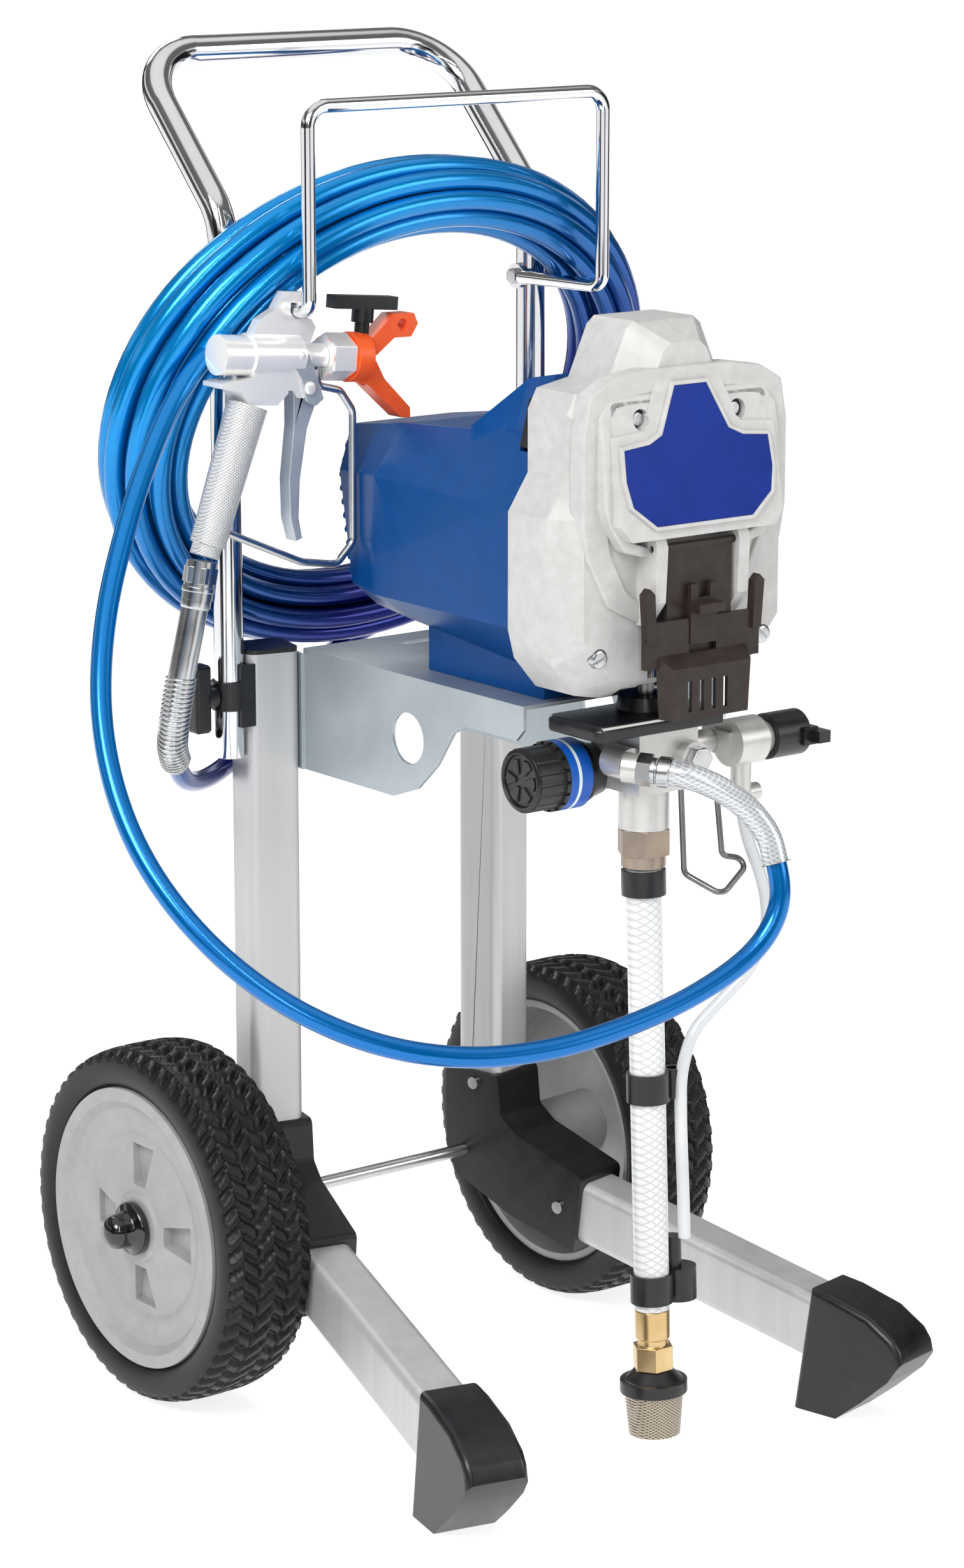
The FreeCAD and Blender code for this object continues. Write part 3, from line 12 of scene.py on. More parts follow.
import bmesh
import bpy
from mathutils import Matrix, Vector


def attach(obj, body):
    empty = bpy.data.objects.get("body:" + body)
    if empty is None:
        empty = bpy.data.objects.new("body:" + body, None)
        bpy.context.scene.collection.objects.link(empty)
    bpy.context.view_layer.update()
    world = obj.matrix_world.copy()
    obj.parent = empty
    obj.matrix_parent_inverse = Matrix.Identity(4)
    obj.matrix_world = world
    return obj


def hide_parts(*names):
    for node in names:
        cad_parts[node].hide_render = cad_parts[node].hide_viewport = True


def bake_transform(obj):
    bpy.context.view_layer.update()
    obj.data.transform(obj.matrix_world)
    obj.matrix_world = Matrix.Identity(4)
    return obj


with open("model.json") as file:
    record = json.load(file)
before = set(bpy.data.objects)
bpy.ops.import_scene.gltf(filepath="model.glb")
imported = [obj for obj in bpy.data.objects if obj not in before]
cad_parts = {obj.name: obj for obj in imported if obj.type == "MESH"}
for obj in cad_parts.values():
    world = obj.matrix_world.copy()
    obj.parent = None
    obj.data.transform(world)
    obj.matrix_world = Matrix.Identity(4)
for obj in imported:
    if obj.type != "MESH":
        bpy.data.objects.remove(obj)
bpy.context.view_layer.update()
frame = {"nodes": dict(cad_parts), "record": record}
NODES = frame["nodes"]
SLOT_OF = {row["node"]: row["material_slot"] for row in frame["record"]["subparts"]}
AXLE_BACK = 127.42
SIDES = (("left", -1), ("right", 1))


def at(x, y, z):
    """Axle-frame millimetres to row-frame metres."""
    return Vector((x / 1000, (y + AXLE_BACK) / 1000, z / 1000))


# ---------------------------------------------------------------- shader helpers
def node(owner, kind, **values):
    """A shader node of a material or world, with its sockets or settings by name."""
    made = owner.node_tree.nodes.new(kind)
    for key, value in values.items():
        if key in made.inputs:
            made.inputs[key].default_value = value
        else:
            setattr(made, key, value)
    return made


def link(owner, a, out, b, into):
    owner.node_tree.links.new(a.outputs[out], b.inputs[into])


def fill_ramp(ramp, stops):
    """Sets a colour ramp from (position, (red, green, blue)) pairs in order of position."""
    for element, (position, colour) in ((ramp.elements[0], stops[0]),
                                        (ramp.elements[1], stops[-1])):
        element.position = position
        element.color = (*colour, 1)
    for position, colour in stops[1:-1]:
        ramp.elements.new(position).color = (*colour, 1)


def paint(name, colour, rough, metal=0.0, specular=0.5, coat=0.0):
    material = bpy.data.materials.new(name)
    material.use_nodes = True
    shader = material.node_tree.nodes["Principled BSDF"]
    shader.inputs["Base Color"].default_value = (*colour, 1)
    shader.inputs["Roughness"].default_value = rough
    shader.inputs["Metallic"].default_value = metal
    shader.inputs["Specular IOR Level"].default_value = specular
    shader.inputs["Coat Weight"].default_value = coat
    shader.inputs["Coat Roughness"].default_value = 0.12
    return material


# ---------------------------------------------------------------- camera, floor and light
CAMERA_PLACE, CAMERA_TARGET = (-1770.4, -2416.2, 1113.3), (37.3, -73.7, 424.3)
LENS, SENSOR_WIDTH = 98.65, 36.0
LAMP_TARGET, CARD_TARGET = (0, -100, 450), (0, -100, 500)
# name, place, target, size in metres, watts
LAMPS = [
    ("key", (-2300, -1100, 2500), LAMP_TARGET, (1.3, 1.3), 68),
    ("fill", (1300, -2500, 1500), LAMP_TARGET, (1.4, 1.4), 19),
    ("back", (600, 2300, 2000), (0, 0, 500), (1.2, 1.0), 22),
    ("strip", (-1500, -2300, 2100), LAMP_TARGET, (0.07, 2.2), 16),
]
# name, place, size in metres
DARK_CARDS = [
    ("card_left", (-2300, -300, 500), (1.1, 2.6)),
    ("card_right", (2300, -700, 500), (1.5, 2.6)),
    ("card_front", (-350, -2700, 500), (0.7, 2.6)),
    ("card_back", (700, 2500, 600), (1.6, 2.6)),
]
FLOOR_HALF, FLOOR_DROP, FLOOR_GLOW = 20.0, 0.0004, 0.82
SKY_TINT, SKY_SEEN = (1.0, 0.995, 0.985, 1), 1.05
# brightness of the sky in reflections, by the height of the direction
SKY_BANDS = [(0.0, 0.08), (0.2, 0.08), (0.25, 0.9), (0.32, 0.95), (0.38, 0.14), (0.74, 0.16),
             (0.82, 0.9), (1.0, 0.95)]


def aim(obj, target):
    obj.rotation_mode = "QUATERNION"
    obj.rotation_quaternion = (target - obj.location).to_track_quat("-Z", "Y")


def make_camera():
    camera = bpy.data.objects.new("camera", bpy.data.cameras.new("camera"))
    bpy.context.scene.collection.objects.link(camera)
    camera.data.sensor_width = SENSOR_WIDTH
    camera.data.lens = LENS
    camera.data.clip_end = 50.0
    camera.location = at(*CAMERA_PLACE)
    aim(camera, at(*CAMERA_TARGET))
    bpy.context.scene.camera = camera


def area_light(name, place, target, size, power):
    lamp = bpy.data.objects.new(name, bpy.data.lights.new(name, "AREA"))
    bpy.context.scene.collection.objects.link(lamp)
    lamp.data.shape = "RECTANGLE"
    lamp.data.size, lamp.data.size_y = size
    lamp.data.energy = power
    lamp.location = at(*place)
    aim(lamp, at(*target))


def board(name, size_x, size_y, material):
    """A flat rectangle about its own middle, left out of the object."""
    x, y = size_x / 2, size_y / 2
    mesh = bpy.data.meshes.new(name)
    mesh.from_pydata([(-x, -y, 0), (x, -y, 0), (x, y, 0), (-x, y, 0)], [], [(0, 1, 2, 3)])
    mesh.materials.append(material)
    made = bpy.data.objects.new(name, mesh)
    bpy.context.scene.collection.objects.link(made)
    return made


def dark_card(name, place, size):
    """A black board that only reflections see, so that bright metal has something dark in it."""
    card = board(name, *size, paint(name, (0.01, 0.01, 0.012), 0.9, specular=0.0))
    card.location = at(*place)
    aim(card, at(*CARD_TARGET))
    card.visible_camera = False
    card.visible_diffuse = False
    card.visible_shadow = False


def make_floor():
    white = paint("floor_white", (0.5, 0.5, 0.5), 0.9, specular=0.1)
    glow = white.node_tree.nodes["Principled BSDF"]
    glow.inputs["Emission Color"].default_value = (1, 1, 1, 1)
    glow.inputs["Emission Strength"].default_value = FLOOR_GLOW
    floor = board("floor", 2 * FLOOR_HALF, 2 * FLOOR_HALF, white)
    floor.location.z = -FLOOR_DROP


def make_world():
    """White where the camera sees it, and banded dark and bright in reflections."""
    world = bpy.data.worlds.new("studio")
    world.use_nodes = True
    bpy.context.scene.world = world
    sky = world.node_tree.nodes["Background"]
    sky.inputs["Color"].default_value = SKY_TINT
    place = node(world, "ShaderNodeTexCoord")
    split = node(world, "ShaderNodeSeparateXYZ")
    bands = node(world, "ShaderNodeValToRGB")
    fill_ramp(bands.color_ramp, [(height, (grey, grey, grey)) for height, grey in SKY_BANDS])
    seen = node(world, "ShaderNodeLightPath")
    strength = node(world, "ShaderNodeMapRange")
    strength.inputs["To Max"].default_value = SKY_SEEN
    link(world, place, "Generated", split, "Vector")
    link(world, split, "Z", bands, "Fac")
    link(world, seen, "Is Camera Ray", strength, "Value")
    link(world, bands, "Color", strength, "To Min")
    link(world, strength, "Result", sky, "Strength")


def make_studio():
    make_floor()
    make_world()
    for lamp in LAMPS:
        area_light(*lamp)
    for card in DARK_CARDS:
        dark_card(*card)
    bpy.context.scene.view_settings.view_transform = "Standard"


# ---------------------------------------------------------------- materials
def mottled(name, colour, colour2, rough, rough2, scale, metal=0.0, bump=0.0, stretch=(1, 1, 1),
            coat=0.0, specular=0.5):
    """Two close colours and roughnesses mixed by noise in object space, with an optional bump."""
    material = paint(name, colour, rough, metal, specular, coat)
    shader = material.node_tree.nodes["Principled BSDF"]
    place = node(material, "ShaderNodeTexCoord")
    mapping = node(material, "ShaderNodeMapping", Scale=stretch)
    noise = node(material, "ShaderNodeTexNoise", Scale=scale, Detail=6.0, Roughness=0.6)
    link(material, place, "Object", mapping, "Vector")
    link(material, mapping, "Vector", noise, "Vector")
    colours = node(material, "ShaderNodeValToRGB")
    fill_ramp(colours.color_ramp, [(0.35, colour), (0.68, colour2)])
    link(material, noise, "Fac", colours, "Fac")
    link(material, colours, "Color", shader, "Base Color")
    ranges = node(material, "ShaderNodeMapRange")
    ranges.inputs["To Min"].default_value = rough
    ranges.inputs["To Max"].default_value = rough2
    link(material, noise, "Fac", ranges, "Value")
    link(material, ranges, "Result", shader, "Roughness")
    if bump:
        grain = node(material, "ShaderNodeTexNoise", Scale=scale * 6, Detail=4.0)
        link(material, mapping, "Vector", grain, "Vector")
        relief = node(material, "ShaderNodeBump", Strength=bump, Distance=0.0006)
        link(material, grain, "Fac", relief, "Height")
        link(material, relief, "Normal", shader, "Normal")
    return material


def hose_with_painted_shade(name, low, high, z_low, z_high, lean=0.0):
    """Hose blue with painted light and shade: a deep painted shade low down and, with a lean, to the
    right, and a bright painted light at the top.
    """
    material = paint(name, high, 0.2, metal=0.55, specular=0.3, coat=0.35)
    shader = material.node_tree.nodes["Principled BSDF"]
    place = node(material, "ShaderNodeTexCoord")
    split = node(material, "ShaderNodeSeparateXYZ")
    link(material, place, "Object", split, "Vector")
    height = node(material, "ShaderNodeMapRange", clamp=False)
    height.inputs["From Min"].default_value = z_low
    height.inputs["From Max"].default_value = z_high
    link(material, split, "Z", height, "Value")
    sideways = node(material, "ShaderNodeMath", operation="MULTIPLY_ADD")
    sideways.inputs[1].default_value = -lean
    link(material, split, "X", sideways, 0)
    link(material, height, "Result", sideways, 2)
    noise = node(material, "ShaderNodeTexNoise", Scale=55.0, Detail=3.0)
    link(material, place, "Object", noise, "Vector")
    shade = node(material, "ShaderNodeMath", operation="MULTIPLY_ADD")
    shade.inputs[1].default_value = 0.12
    link(material, noise, "Fac", shade, 0)
    link(material, sideways, 0, shade, 2)
    # painted shade ramp: low is the shaded blue, high the lit blue; the noise adds a little random
    # tone
    colours = node(material, "ShaderNodeValToRGB")
    fill_ramp(colours.color_ramp, [(0.05, low), (1.0, high)])
    link(material, shade, 0, colours, "Fac")
    link(material, colours, "Color", shader, "Base Color")
    return material


def braid(name, base, thread, rough, scale, metal=0.0, depth=0.0, coat=0.0):
    """Two sets of bands that lean opposite ways, as crossed threads round a tube."""
    material = paint(name, base, rough, metal, coat=coat)
    shader = material.node_tree.nodes["Principled BSDF"]
    place = node(material, "ShaderNodeTexCoord")
    waves = []
    for lean in (1.0, -1.0):
        mapping = node(material, "ShaderNodeMapping", Rotation=(0, 0.62 * lean, 0.5 * lean))
        link(material, place, "Object", mapping, "Vector")
        wave = node(material, "ShaderNodeTexWave", Scale=scale, bands_direction="Z")
        link(material, mapping, "Vector", wave, "Vector")
        waves.append(wave)
    top = node(material, "ShaderNodeMath", operation="MAXIMUM")
    for socket, wave in enumerate(waves):
        link(material, wave, "Fac", top, socket)
    colours = node(material, "ShaderNodeValToRGB")
    fill_ramp(colours.color_ramp, [(0.8, base), (0.97, thread)])
    link(material, top, 0, colours, "Fac")
    link(material, colours, "Color", shader, "Base Color")
    if depth:
        relief = node(material, "ShaderNodeBump", Strength=depth, Distance=0.0008)
        link(material, top, 0, relief, "Height")
        link(material, relief, "Normal", shader, "Normal")
    return material


KNOB_PAINT_FROM, KNOB_PAINT_TO = -0.083, -0.0405


def knob_paint():
    """Black knob with a blue ring and a pale stripe, set out along the knob's own axis."""
    black, blue, pale = (0.02, 0.02, 0.021), (0.004, 0.1, 0.5), (0.75, 0.85, 0.85)
    material = paint("knob", black, 0.4)
    shader = material.node_tree.nodes["Principled BSDF"]
    place = node(material, "ShaderNodeTexCoord")
    split = node(material, "ShaderNodeSeparateXYZ")
    link(material, place, "Object", split, "Vector")
    along = node(material, "ShaderNodeMapRange")
    along.inputs["From Min"].default_value = KNOB_PAINT_FROM
    along.inputs["From Max"].default_value = KNOB_PAINT_TO
    link(material, split, "X", along, "Value")
    rings = node(material, "ShaderNodeValToRGB")
    rings.color_ramp.interpolation = "CONSTANT"
    fill_ramp(rings.color_ramp,
              [(0.0, black), (0.546, blue), (0.694, pale), (0.753, blue), (0.965, black)])
    link(material, along, "Result", rings, "Fac")
    link(material, rings, "Color", shader, "Base Color")
    grain = node(material, "ShaderNodeTexNoise", Scale=420.0, Detail=3.0)
    link(material, place, "Object", grain, "Vector")
    relief = node(material, "ShaderNodeBump", Strength=0.12, Distance=0.0005)
    link(material, grain, "Fac", relief, "Height")
    link(material, relief, "Normal", shader, "Normal")
    return material


MAT = {
    "tyre_rubber": mottled("tyre_rubber", (0.007, 0.007, 0.007), (0.014, 0.014, 0.014),
                           0.34, 0.5, 60, bump=0.1, specular=0.3),
    "hub_grey": mottled("hub_grey", (0.33, 0.33, 0.335), (0.38, 0.38, 0.385), 0.42, 0.55, 70,
                        bump=0.06),
    "chrome": mottled("chrome", (0.72, 0.73, 0.75), (0.78, 0.79, 0.81), 0.08, 0.13, 12, metal=1.0),
    "zinc_sheet": mottled("zinc_sheet", (0.41, 0.46, 0.49), (0.5, 0.55, 0.58), 0.34, 0.46,
                          14, metal=0.7),
    "aluminium_tube": mottled("aluminium_tube", (0.55, 0.555, 0.56), (0.61, 0.61, 0.615), 0.42,
                              0.54, 90, metal=0.55, stretch=(1, 1, 0.04)),
    "black_moulding": mottled("black_moulding", (0.006, 0.006, 0.007), (0.012, 0.012, 0.013),
                              0.24, 0.38, 90, bump=0.08),
    "blue_shell": mottled("blue_shell", (0.0, 0.05, 0.2), (0.001, 0.058, 0.235), 0.28, 0.38,
                          70, bump=0.04, specular=0.16, coat=0.06),
    "grey_shell": mottled("grey_shell", (0.48, 0.475, 0.465), (0.55, 0.545, 0.535), 0.36, 0.48,
                          110, bump=0.07),
    "blue_panel": mottled("blue_panel", (0.001, 0.018, 0.19), (0.002, 0.026, 0.24), 0.34, 0.4, 40,
                          specular=0.14),
    "steel": mottled("steel", (0.52, 0.53, 0.54), (0.62, 0.63, 0.64), 0.18, 0.3, 50, metal=1.0),
    "brass": mottled("brass", (0.6, 0.42, 0.2), (0.7, 0.52, 0.28), 0.22, 0.36, 60, metal=1.0),
    "cast_metal": mottled("cast_metal", (0.58, 0.57, 0.55), (0.66, 0.65, 0.63), 0.28, 0.42,
                          50, metal=0.6, bump=0.05),
    "light_metal": mottled("light_metal", (0.9, 0.89, 0.87), (0.93, 0.92, 0.9), 0.2, 0.3,
                           30, metal=0.4),
    "dark_moulding": mottled("dark_moulding", (0.022, 0.015, 0.013), (0.034, 0.024, 0.021),
                             0.3, 0.42, 90, bump=0.08, specular=0.3),
    # front hose with painted shade: a darker blue low down, a brighter painted light blue higher up
    "blue_hose": hose_with_painted_shade("blue_hose", (0.0, 0.14, 0.46), (0.0, 0.2, 0.56), 0.3, 0.8),
    "clear_tube": mottled("clear_tube", (0.6, 0.62, 0.64), (0.68, 0.69, 0.7), 0.1, 0.18, 25,
                          coat=0.5),
    "clear_sleeve": braid("clear_sleeve", (0.42, 0.44, 0.47), (0.72, 0.73, 0.74), 0.16, 126,
                          metal=0.25, coat=0.6),
    "braided_tube": braid("braided_tube", (0.76, 0.77, 0.77), (0.56, 0.57, 0.57), 0.22, 72,
                          coat=0.3),
    "orange_plastic": mottled("orange_plastic", (0.86, 0.09, 0.012), (0.9, 0.12, 0.018), 0.3,
                              0.4, 70),
    "strainer_mesh": braid("strainer_mesh", (0.2, 0.16, 0.11), (0.62, 0.56, 0.46), 0.32, 180,
                           metal=0.7, depth=0.5),
    "copper_winding": mottled("copper_winding", (0.28, 0.28, 0.3), (0.33, 0.33, 0.35), 0.4, 0.5,
                              60, metal=0.6),
}
# Coiled hose with painted shade: navy low down and to the right, painted light cyan at the top.
COILED_PAINTED_SHADE = hose_with_painted_shade("coiled_hose_painted_shade", (0.004, 0.014, 0.2), (0.0, 0.25, 0.64), 0.55, 0.9, lean=2.4)
GRIP = braid("knurled_grip", (0.66, 0.66, 0.66), (0.86, 0.86, 0.86), 0.3, 204, metal=0.45,
             depth=0.9)
BRONZE = mottled("bronze", (0.3, 0.24, 0.19), (0.38, 0.31, 0.25), 0.26, 0.4, 60, metal=0.85)
TRIGGER = mottled("trigger_metal", (0.46, 0.5, 0.53), (0.56, 0.6, 0.63), 0.24, 0.36, 40, metal=0.5)
DARK_WIRE = mottled("dark_wire", (0.16, 0.16, 0.165), (0.22, 0.22, 0.225), 0.2, 0.3, 60, metal=0.9)
GLOSS = mottled("gloss_black", (0.005, 0.005, 0.006), (0.009, 0.009, 0.01), 0.1, 0.16, 40, coat=0.6)
OWN_PAINT = {"gun_grip": GRIP, "pressure_knob": knob_paint(), "inlet_nut": BRONZE,
             "gun_trigger": TRIGGER, "pail_hook": DARK_WIRE, "piston_yoke": DARK_WIRE}

SMALL_ROUND, FINE_ROUND = 0.0007, 0.0005
ROUNDING = {"front_cover": 0.0014, "motor_cover": 0.0014, "left_foot": 0.002, "right_foot": 0.002,
            "left_corner_bracket": 0.0014, "right_corner_bracket": 0.0014, "gun_body": 0.0014}


def soften(obj, width, angle=32):
    """Rounds the edges a little and keeps the flat faces flat."""
    bevel = obj.modifiers.new("bevel", "BEVEL")
    bevel.width = width
    bevel.segments = 2
    bevel.limit_method = "ANGLE"
    bevel.angle_limit = math.radians(angle)
    bevel.use_clamp_overlap = True
    flats = obj.modifiers.new("flats", "WEIGHTED_NORMAL")
    flats.keep_sharp = False
    flats.weight = 80
    for polygon in obj.data.polygons:
        polygon.use_smooth = True


def dress_cad():
    """Every CAD node gets its procedural finish and softened edges."""
    for name, obj in NODES.items():
        obj.data.materials.clear()
        obj.data.materials.append(OWN_PAINT.get(name, MAT[SLOT_OF[name]]))
        weld = obj.modifiers.new("weld", "WELD")
        weld.merge_threshold = 0.00002
        soften(obj, ROUNDING.get(name, SMALL_ROUND))


# ---------------------------------------------------------------- mesh helpers
def piece(name, verts, faces, slot, body, material=None, outward=True):
    """A smooth mesh piece of its own that rides on a body, its faces turned outward if asked."""
    mesh = bpy.data.meshes.new(name)
    mesh.from_pydata([tuple(v) for v in verts], [], faces)
    mesh.update()
    obj = bpy.data.objects.new(name, mesh)
    bpy.context.scene.collection.objects.link(obj)
    mesh.materials.append(material or MAT[slot])
    for polygon in mesh.polygons:
        polygon.use_smooth = True
    if outward:
        turn_outward(mesh)
    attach(obj, body)
    return obj


def turn_outward(mesh):
    shell = bmesh.new()
    shell.from_mesh(mesh)
    bmesh.ops.recalc_face_normals(shell, faces=shell.faces)
    shell.to_mesh(mesh)
    shell.free()


def ring_faces(rings, around, closed=False):
    """Quads between rows of points; each row closes on itself, and the rows may too."""
    faces = []
    for r in range(rings if closed else rings - 1):
        low, high = r * around, (r + 1) % rings * around
        for k in range(around):
            after = (k + 1) % around
            faces.append((low + k, low + after, high + after, high + k))
    return faces


def capped_faces(rings, around):
    """Faces of a row of rings with a flat end at both ends."""
    last = (rings - 1) * around
    return ring_faces(rings, around) + [tuple(range(around)), tuple(range(last, last + around))]


def circle(radius, steps, twist=0.0):
    angles = [2 * math.pi * k / steps + twist for k in range(steps)]
    return [(radius * math.cos(a), radius * math.sin(a)) for a in angles]


def turned(profile, steps, place, twist=0.0):
    """Rings for (along, radius) pairs; place turns (along, u, v) into a point."""
    return [place(along, u, v) for along, radius in profile for u, v in circle(radius, steps, twist)]


def mirrored(half):
    """Closed outline from its half at X >= 0, listed from the bottom middle to the top."""
    return half + [(-x, z) for x, z in reversed(half) if x > 0.01]


# ---------------------------------------------------------------- wheels
WHEEL_MIDDLE, AXLE_HEIGHT = 182, 127
TREAD_LUGS, STEPS_PER_LUG = 56, 8
TREAD_COLUMN, TREAD_DEPTH = 11.6, 3.4
LUG_LEAN, LUG_SHARE, GROOVE_SHARE = 0.66, 0.6, 0.1
TREAD_HALF, TREAD_ROWS = 33.0, 52
CROWN_RADIUS, CROWN_DROP = 126.9, 4.4
SIDEWALL = [(33.6, 120.5), (34.6, 117.5), (35.0, 113.0), (34.7, 108.0), (33.0, 103.5),
            (31.0, 100.05)]
AXLE_NOSE = [(214.0, 19.0), (217.5, 19.0), (219.4, 17.6), (220.6, 14.0), (222.0, 12.6),
             (229.0, 12.2), (233.0, 10.8), (236.0, 8.0), (237.6, 4.0), (238.0, 0.4)]


def tread_height(turn, across):
    """Depth of the tread below the crown: columns of V-shaped lugs with grooves between them."""
    wave = abs((across / TREAD_COLUMN) % 2 - 1)
    place = turn * TREAD_LUGS + LUG_LEAN * wave
    if int(across // (2 * TREAD_COLUMN)) % 2:
        place += 0.5
    on_lug = place % 1.0 < LUG_SHARE and wave > GROOVE_SHARE
    return 0.0 if on_lug else -TREAD_DEPTH


def build_tyre(word, side):
    """Solid tyre with a moulded tread, turned about the wheel's axis."""
    steps = TREAD_LUGS * STEPS_PER_LUG
    tread = [-TREAD_HALF + 2 * TREAD_HALF * k / TREAD_ROWS for k in range(TREAD_ROWS + 1)]
    verts = []
    for i in range(steps):
        turn = i / steps
        angle = 2 * math.pi * turn
        row = [(-t, radius) for t, radius in reversed(SIDEWALL)]
        for t in tread:
            crown = CROWN_RADIUS - CROWN_DROP * (abs(t) / TREAD_HALF) ** 4
            row.append((t, crown + tread_height(turn, t)))
        row += SIDEWALL
        for t, radius in row:
            verts.append(at(side * (WHEEL_MIDDLE + t), radius * math.cos(angle),
                            AXLE_HEIGHT + radius * math.sin(angle)))
    around = len(tread) + 2 * len(SIDEWALL)
    tyre = piece(f"{word}_tread_tyre", verts, ring_faces(steps, around, closed=True),
                 "tyre_rubber", f"{word}_wheel", outward=False)
    tyre.data.validate()
    if side < 0:
        tyre.data.flip_normals()
    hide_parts(f"{word}_tyre")
    flats = tyre.modifiers.new("flats", "WEIGHTED_NORMAL")
    flats.keep_sharp = False


def build_axle_noses():
    """Glossy push-on caps with a flange and a rounded nose at both ends of the axle."""
    steps, verts, faces = 32, [], []
    for _, side in SIDES:
        start = len(verts)
        verts += turned(AXLE_NOSE, steps, lambda x, u, v: at(side * x, u, AXLE_HEIGHT + v))
        faces += [tuple(start + v for v in face) for face in capped_faces(len(AXLE_NOSE), steps)]
    noses = piece("axle_noses", verts, faces, "black_moulding", "cart", GLOSS)
    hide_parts("axle_caps")


# ---------------------------------------------------------------- covers
SEAT_FOOT_Y, SEAT_FOOT_Z, SEAT_SLOPE = -356.0, 646.0, 20.0 / 102.0
# outer and inner halves of each band, in (x, z) from the bottom up
OUTER_STEP = (
    [(31, 589.5), (40, 590), (64, 602), (81, 634), (85, 655), (85, 712), (80, 738),
     (62, 748), (36, 752), (0, 752)],
    [(31, 601.5), (38, 602), (50, 612), (62, 636), (66, 656), (66, 708), (66, 726),
     (58, 732), (40, 736), (0, 738)],
)
INNER_STEP = (
    [(0, 634), (44, 634), (58, 638), (70, 655), (74, 668), (74, 706), (74, 724),
     (66, 734), (50, 737), (0, 737)],
    [(0, 640), (40, 640), (52, 644), (60, 656), (63, 668), (64, 704), (64, 722),
     (58, 729), (48, 730), (0, 730)],
)
LABEL_RIM = (
    [(0, 651.8), (41, 651.8), (60.3, 667), (63.7, 684), (62.7, 706), (40, 708.2),
     (29.6, 712.6), (14.9, 743.2), (0, 743.2)],
    [(0, 654.3), (40, 654.3), (57.8, 668), (61.2, 684), (60.2, 703.7), (39, 705.7),
     (28, 710.7), (13.4, 740.7), (0, 740.7)],
)
SCREW_X, SCREW_Z = 40.5, 721.0
OUTER_FRONT, OUTER_BACK, INNER_BACK, PAD_BACK = -337.0, -322.0, -330.0, -331.0
STEP_FRONT, STEP_BEHIND_SEAT, SEAT_LOW = -346.0, 1.6, 650
RIM_OUT, RIM_IN = 2.5, 1.0
PAD_OUTWARD, PAD_INWARD, PAD_HALF_HIGH, PAD_HOLE, PAD_POINTS = 24.5, 9.8, 12.5, 6.6, 48
WELL_OUTER, WELL_INNER = 6.9, 4.6
LOUVRE = [(1.0, -3.6), (-2.6, -3.4), (-3.4, -1.2), (-0.4, 3.0), (1.0, 3.4)]
LOUVRES, LOUVRE_LOW, LOUVRE_PITCH = 10, 589, 9
BACK_TOP_Y, BACK_TOP_Z, BACK_LEAN = -31, 681, 0.35
LOUVRE_HALF, SIDE_TAPER, SIDE_TAPER_Y = 53.5, 30 / 92, -20
TOP_TAPER, TOP_TAPER_Z = 0.42, 650


def seat_front(z):
    """Y of the slanted label seat at a height."""
    return SEAT_FOOT_Y + (z - SEAT_FOOT_Z) * SEAT_SLOPE


def step_front(z):
    """Y of the inner step's face, just behind the label seat."""
    return max(seat_front(z) + STEP_BEHIND_SEAT, STEP_FRONT) if z > SEAT_LOW else STEP_FRONT


def framed_step(name, outer, inner, front, back, slot="grey_shell", width=0.0016, whole=True):
    """A raised band between two outlines of as many points; front and back give Y for a Z.

    A band that isn't whole stays open between the outlines' last and first points.
    """
    count = len(outer)
    verts = []
    for outline, y_of in ((outer, back), (outer, front), (inner, front), (inner, back)):
        verts += [at(x, y_of(z), z) for x, z in outline]
    faces = ring_faces(4, count, closed=True)
    if not whole:
        faces = [face for k, face in enumerate(faces) if k % count != count - 1]
        faces += [tuple(row * count + k for row in range(4)) for k in (0, count - 1)]
    soften(piece(name, verts, faces, slot, "cart"), width, 25)


def screw_pad_outlines(side):
    """A block about an upper screw and the round hole in it, as outlines of as many points."""
    pad, hole = [], []
    for u, v in circle(1.0, PAD_POINTS):
        across = PAD_OUTWARD if u > 0 else PAD_INWARD
        reach = min(across / max(abs(u), 1e-6), PAD_HALF_HIGH / max(abs(v), 1e-6))
        pad.append((side * (SCREW_X + reach * u), SCREW_Z + reach * v))
        hole.append((side * (SCREW_X + PAD_HOLE * u), SCREW_Z + PAD_HOLE * v))
    return pad, hole


def build_cover_steps():
    """The stepped levels that frame the label seat, the screw pads and the label's pale rim."""
    framed_step("cover_step_outer", *[mirrored(half) for half in OUTER_STEP],
                lambda z: OUTER_FRONT, lambda z: OUTER_BACK, whole=False)
    framed_step("cover_step_inner", *[mirrored(half) for half in INNER_STEP],
                step_front, lambda z: INNER_BACK)
    for k, (_, side) in enumerate(SIDES):
        framed_step(f"screw_pad_{k}", *screw_pad_outlines(side), step_front, lambda z: PAD_BACK,
                    width=FINE_ROUND)
    framed_step("label_rim", *[mirrored(half) for half in LABEL_RIM],
                lambda z: seat_front(z) - RIM_OUT, lambda z: seat_front(z) + RIM_IN, width=FINE_ROUND)


def build_rear_louvres():
    """Cooling louvres across the back of the blue cover, which leans and narrows upwards."""
    for k in range(LOUVRES):
        z = LOUVRE_LOW + LOUVRE_PITCH * k
        rear = BACK_TOP_Y - BACK_LEAN * (BACK_TOP_Z - z)
        half = LOUVRE_HALF + SIDE_TAPER * (SIDE_TAPER_Y - rear)
        half -= TOP_TAPER * max(0, z - TOP_TAPER_Z)
        verts = [at(x, rear - dy, z + dz) for x in (-half, half) for dy, dz in LOUVRE]
        louvre = piece(f"louvre_{k:02d}", verts, capped_faces(2, len(LOUVRE)), "blue_shell", "cart")
        soften(louvre, FINE_ROUND)


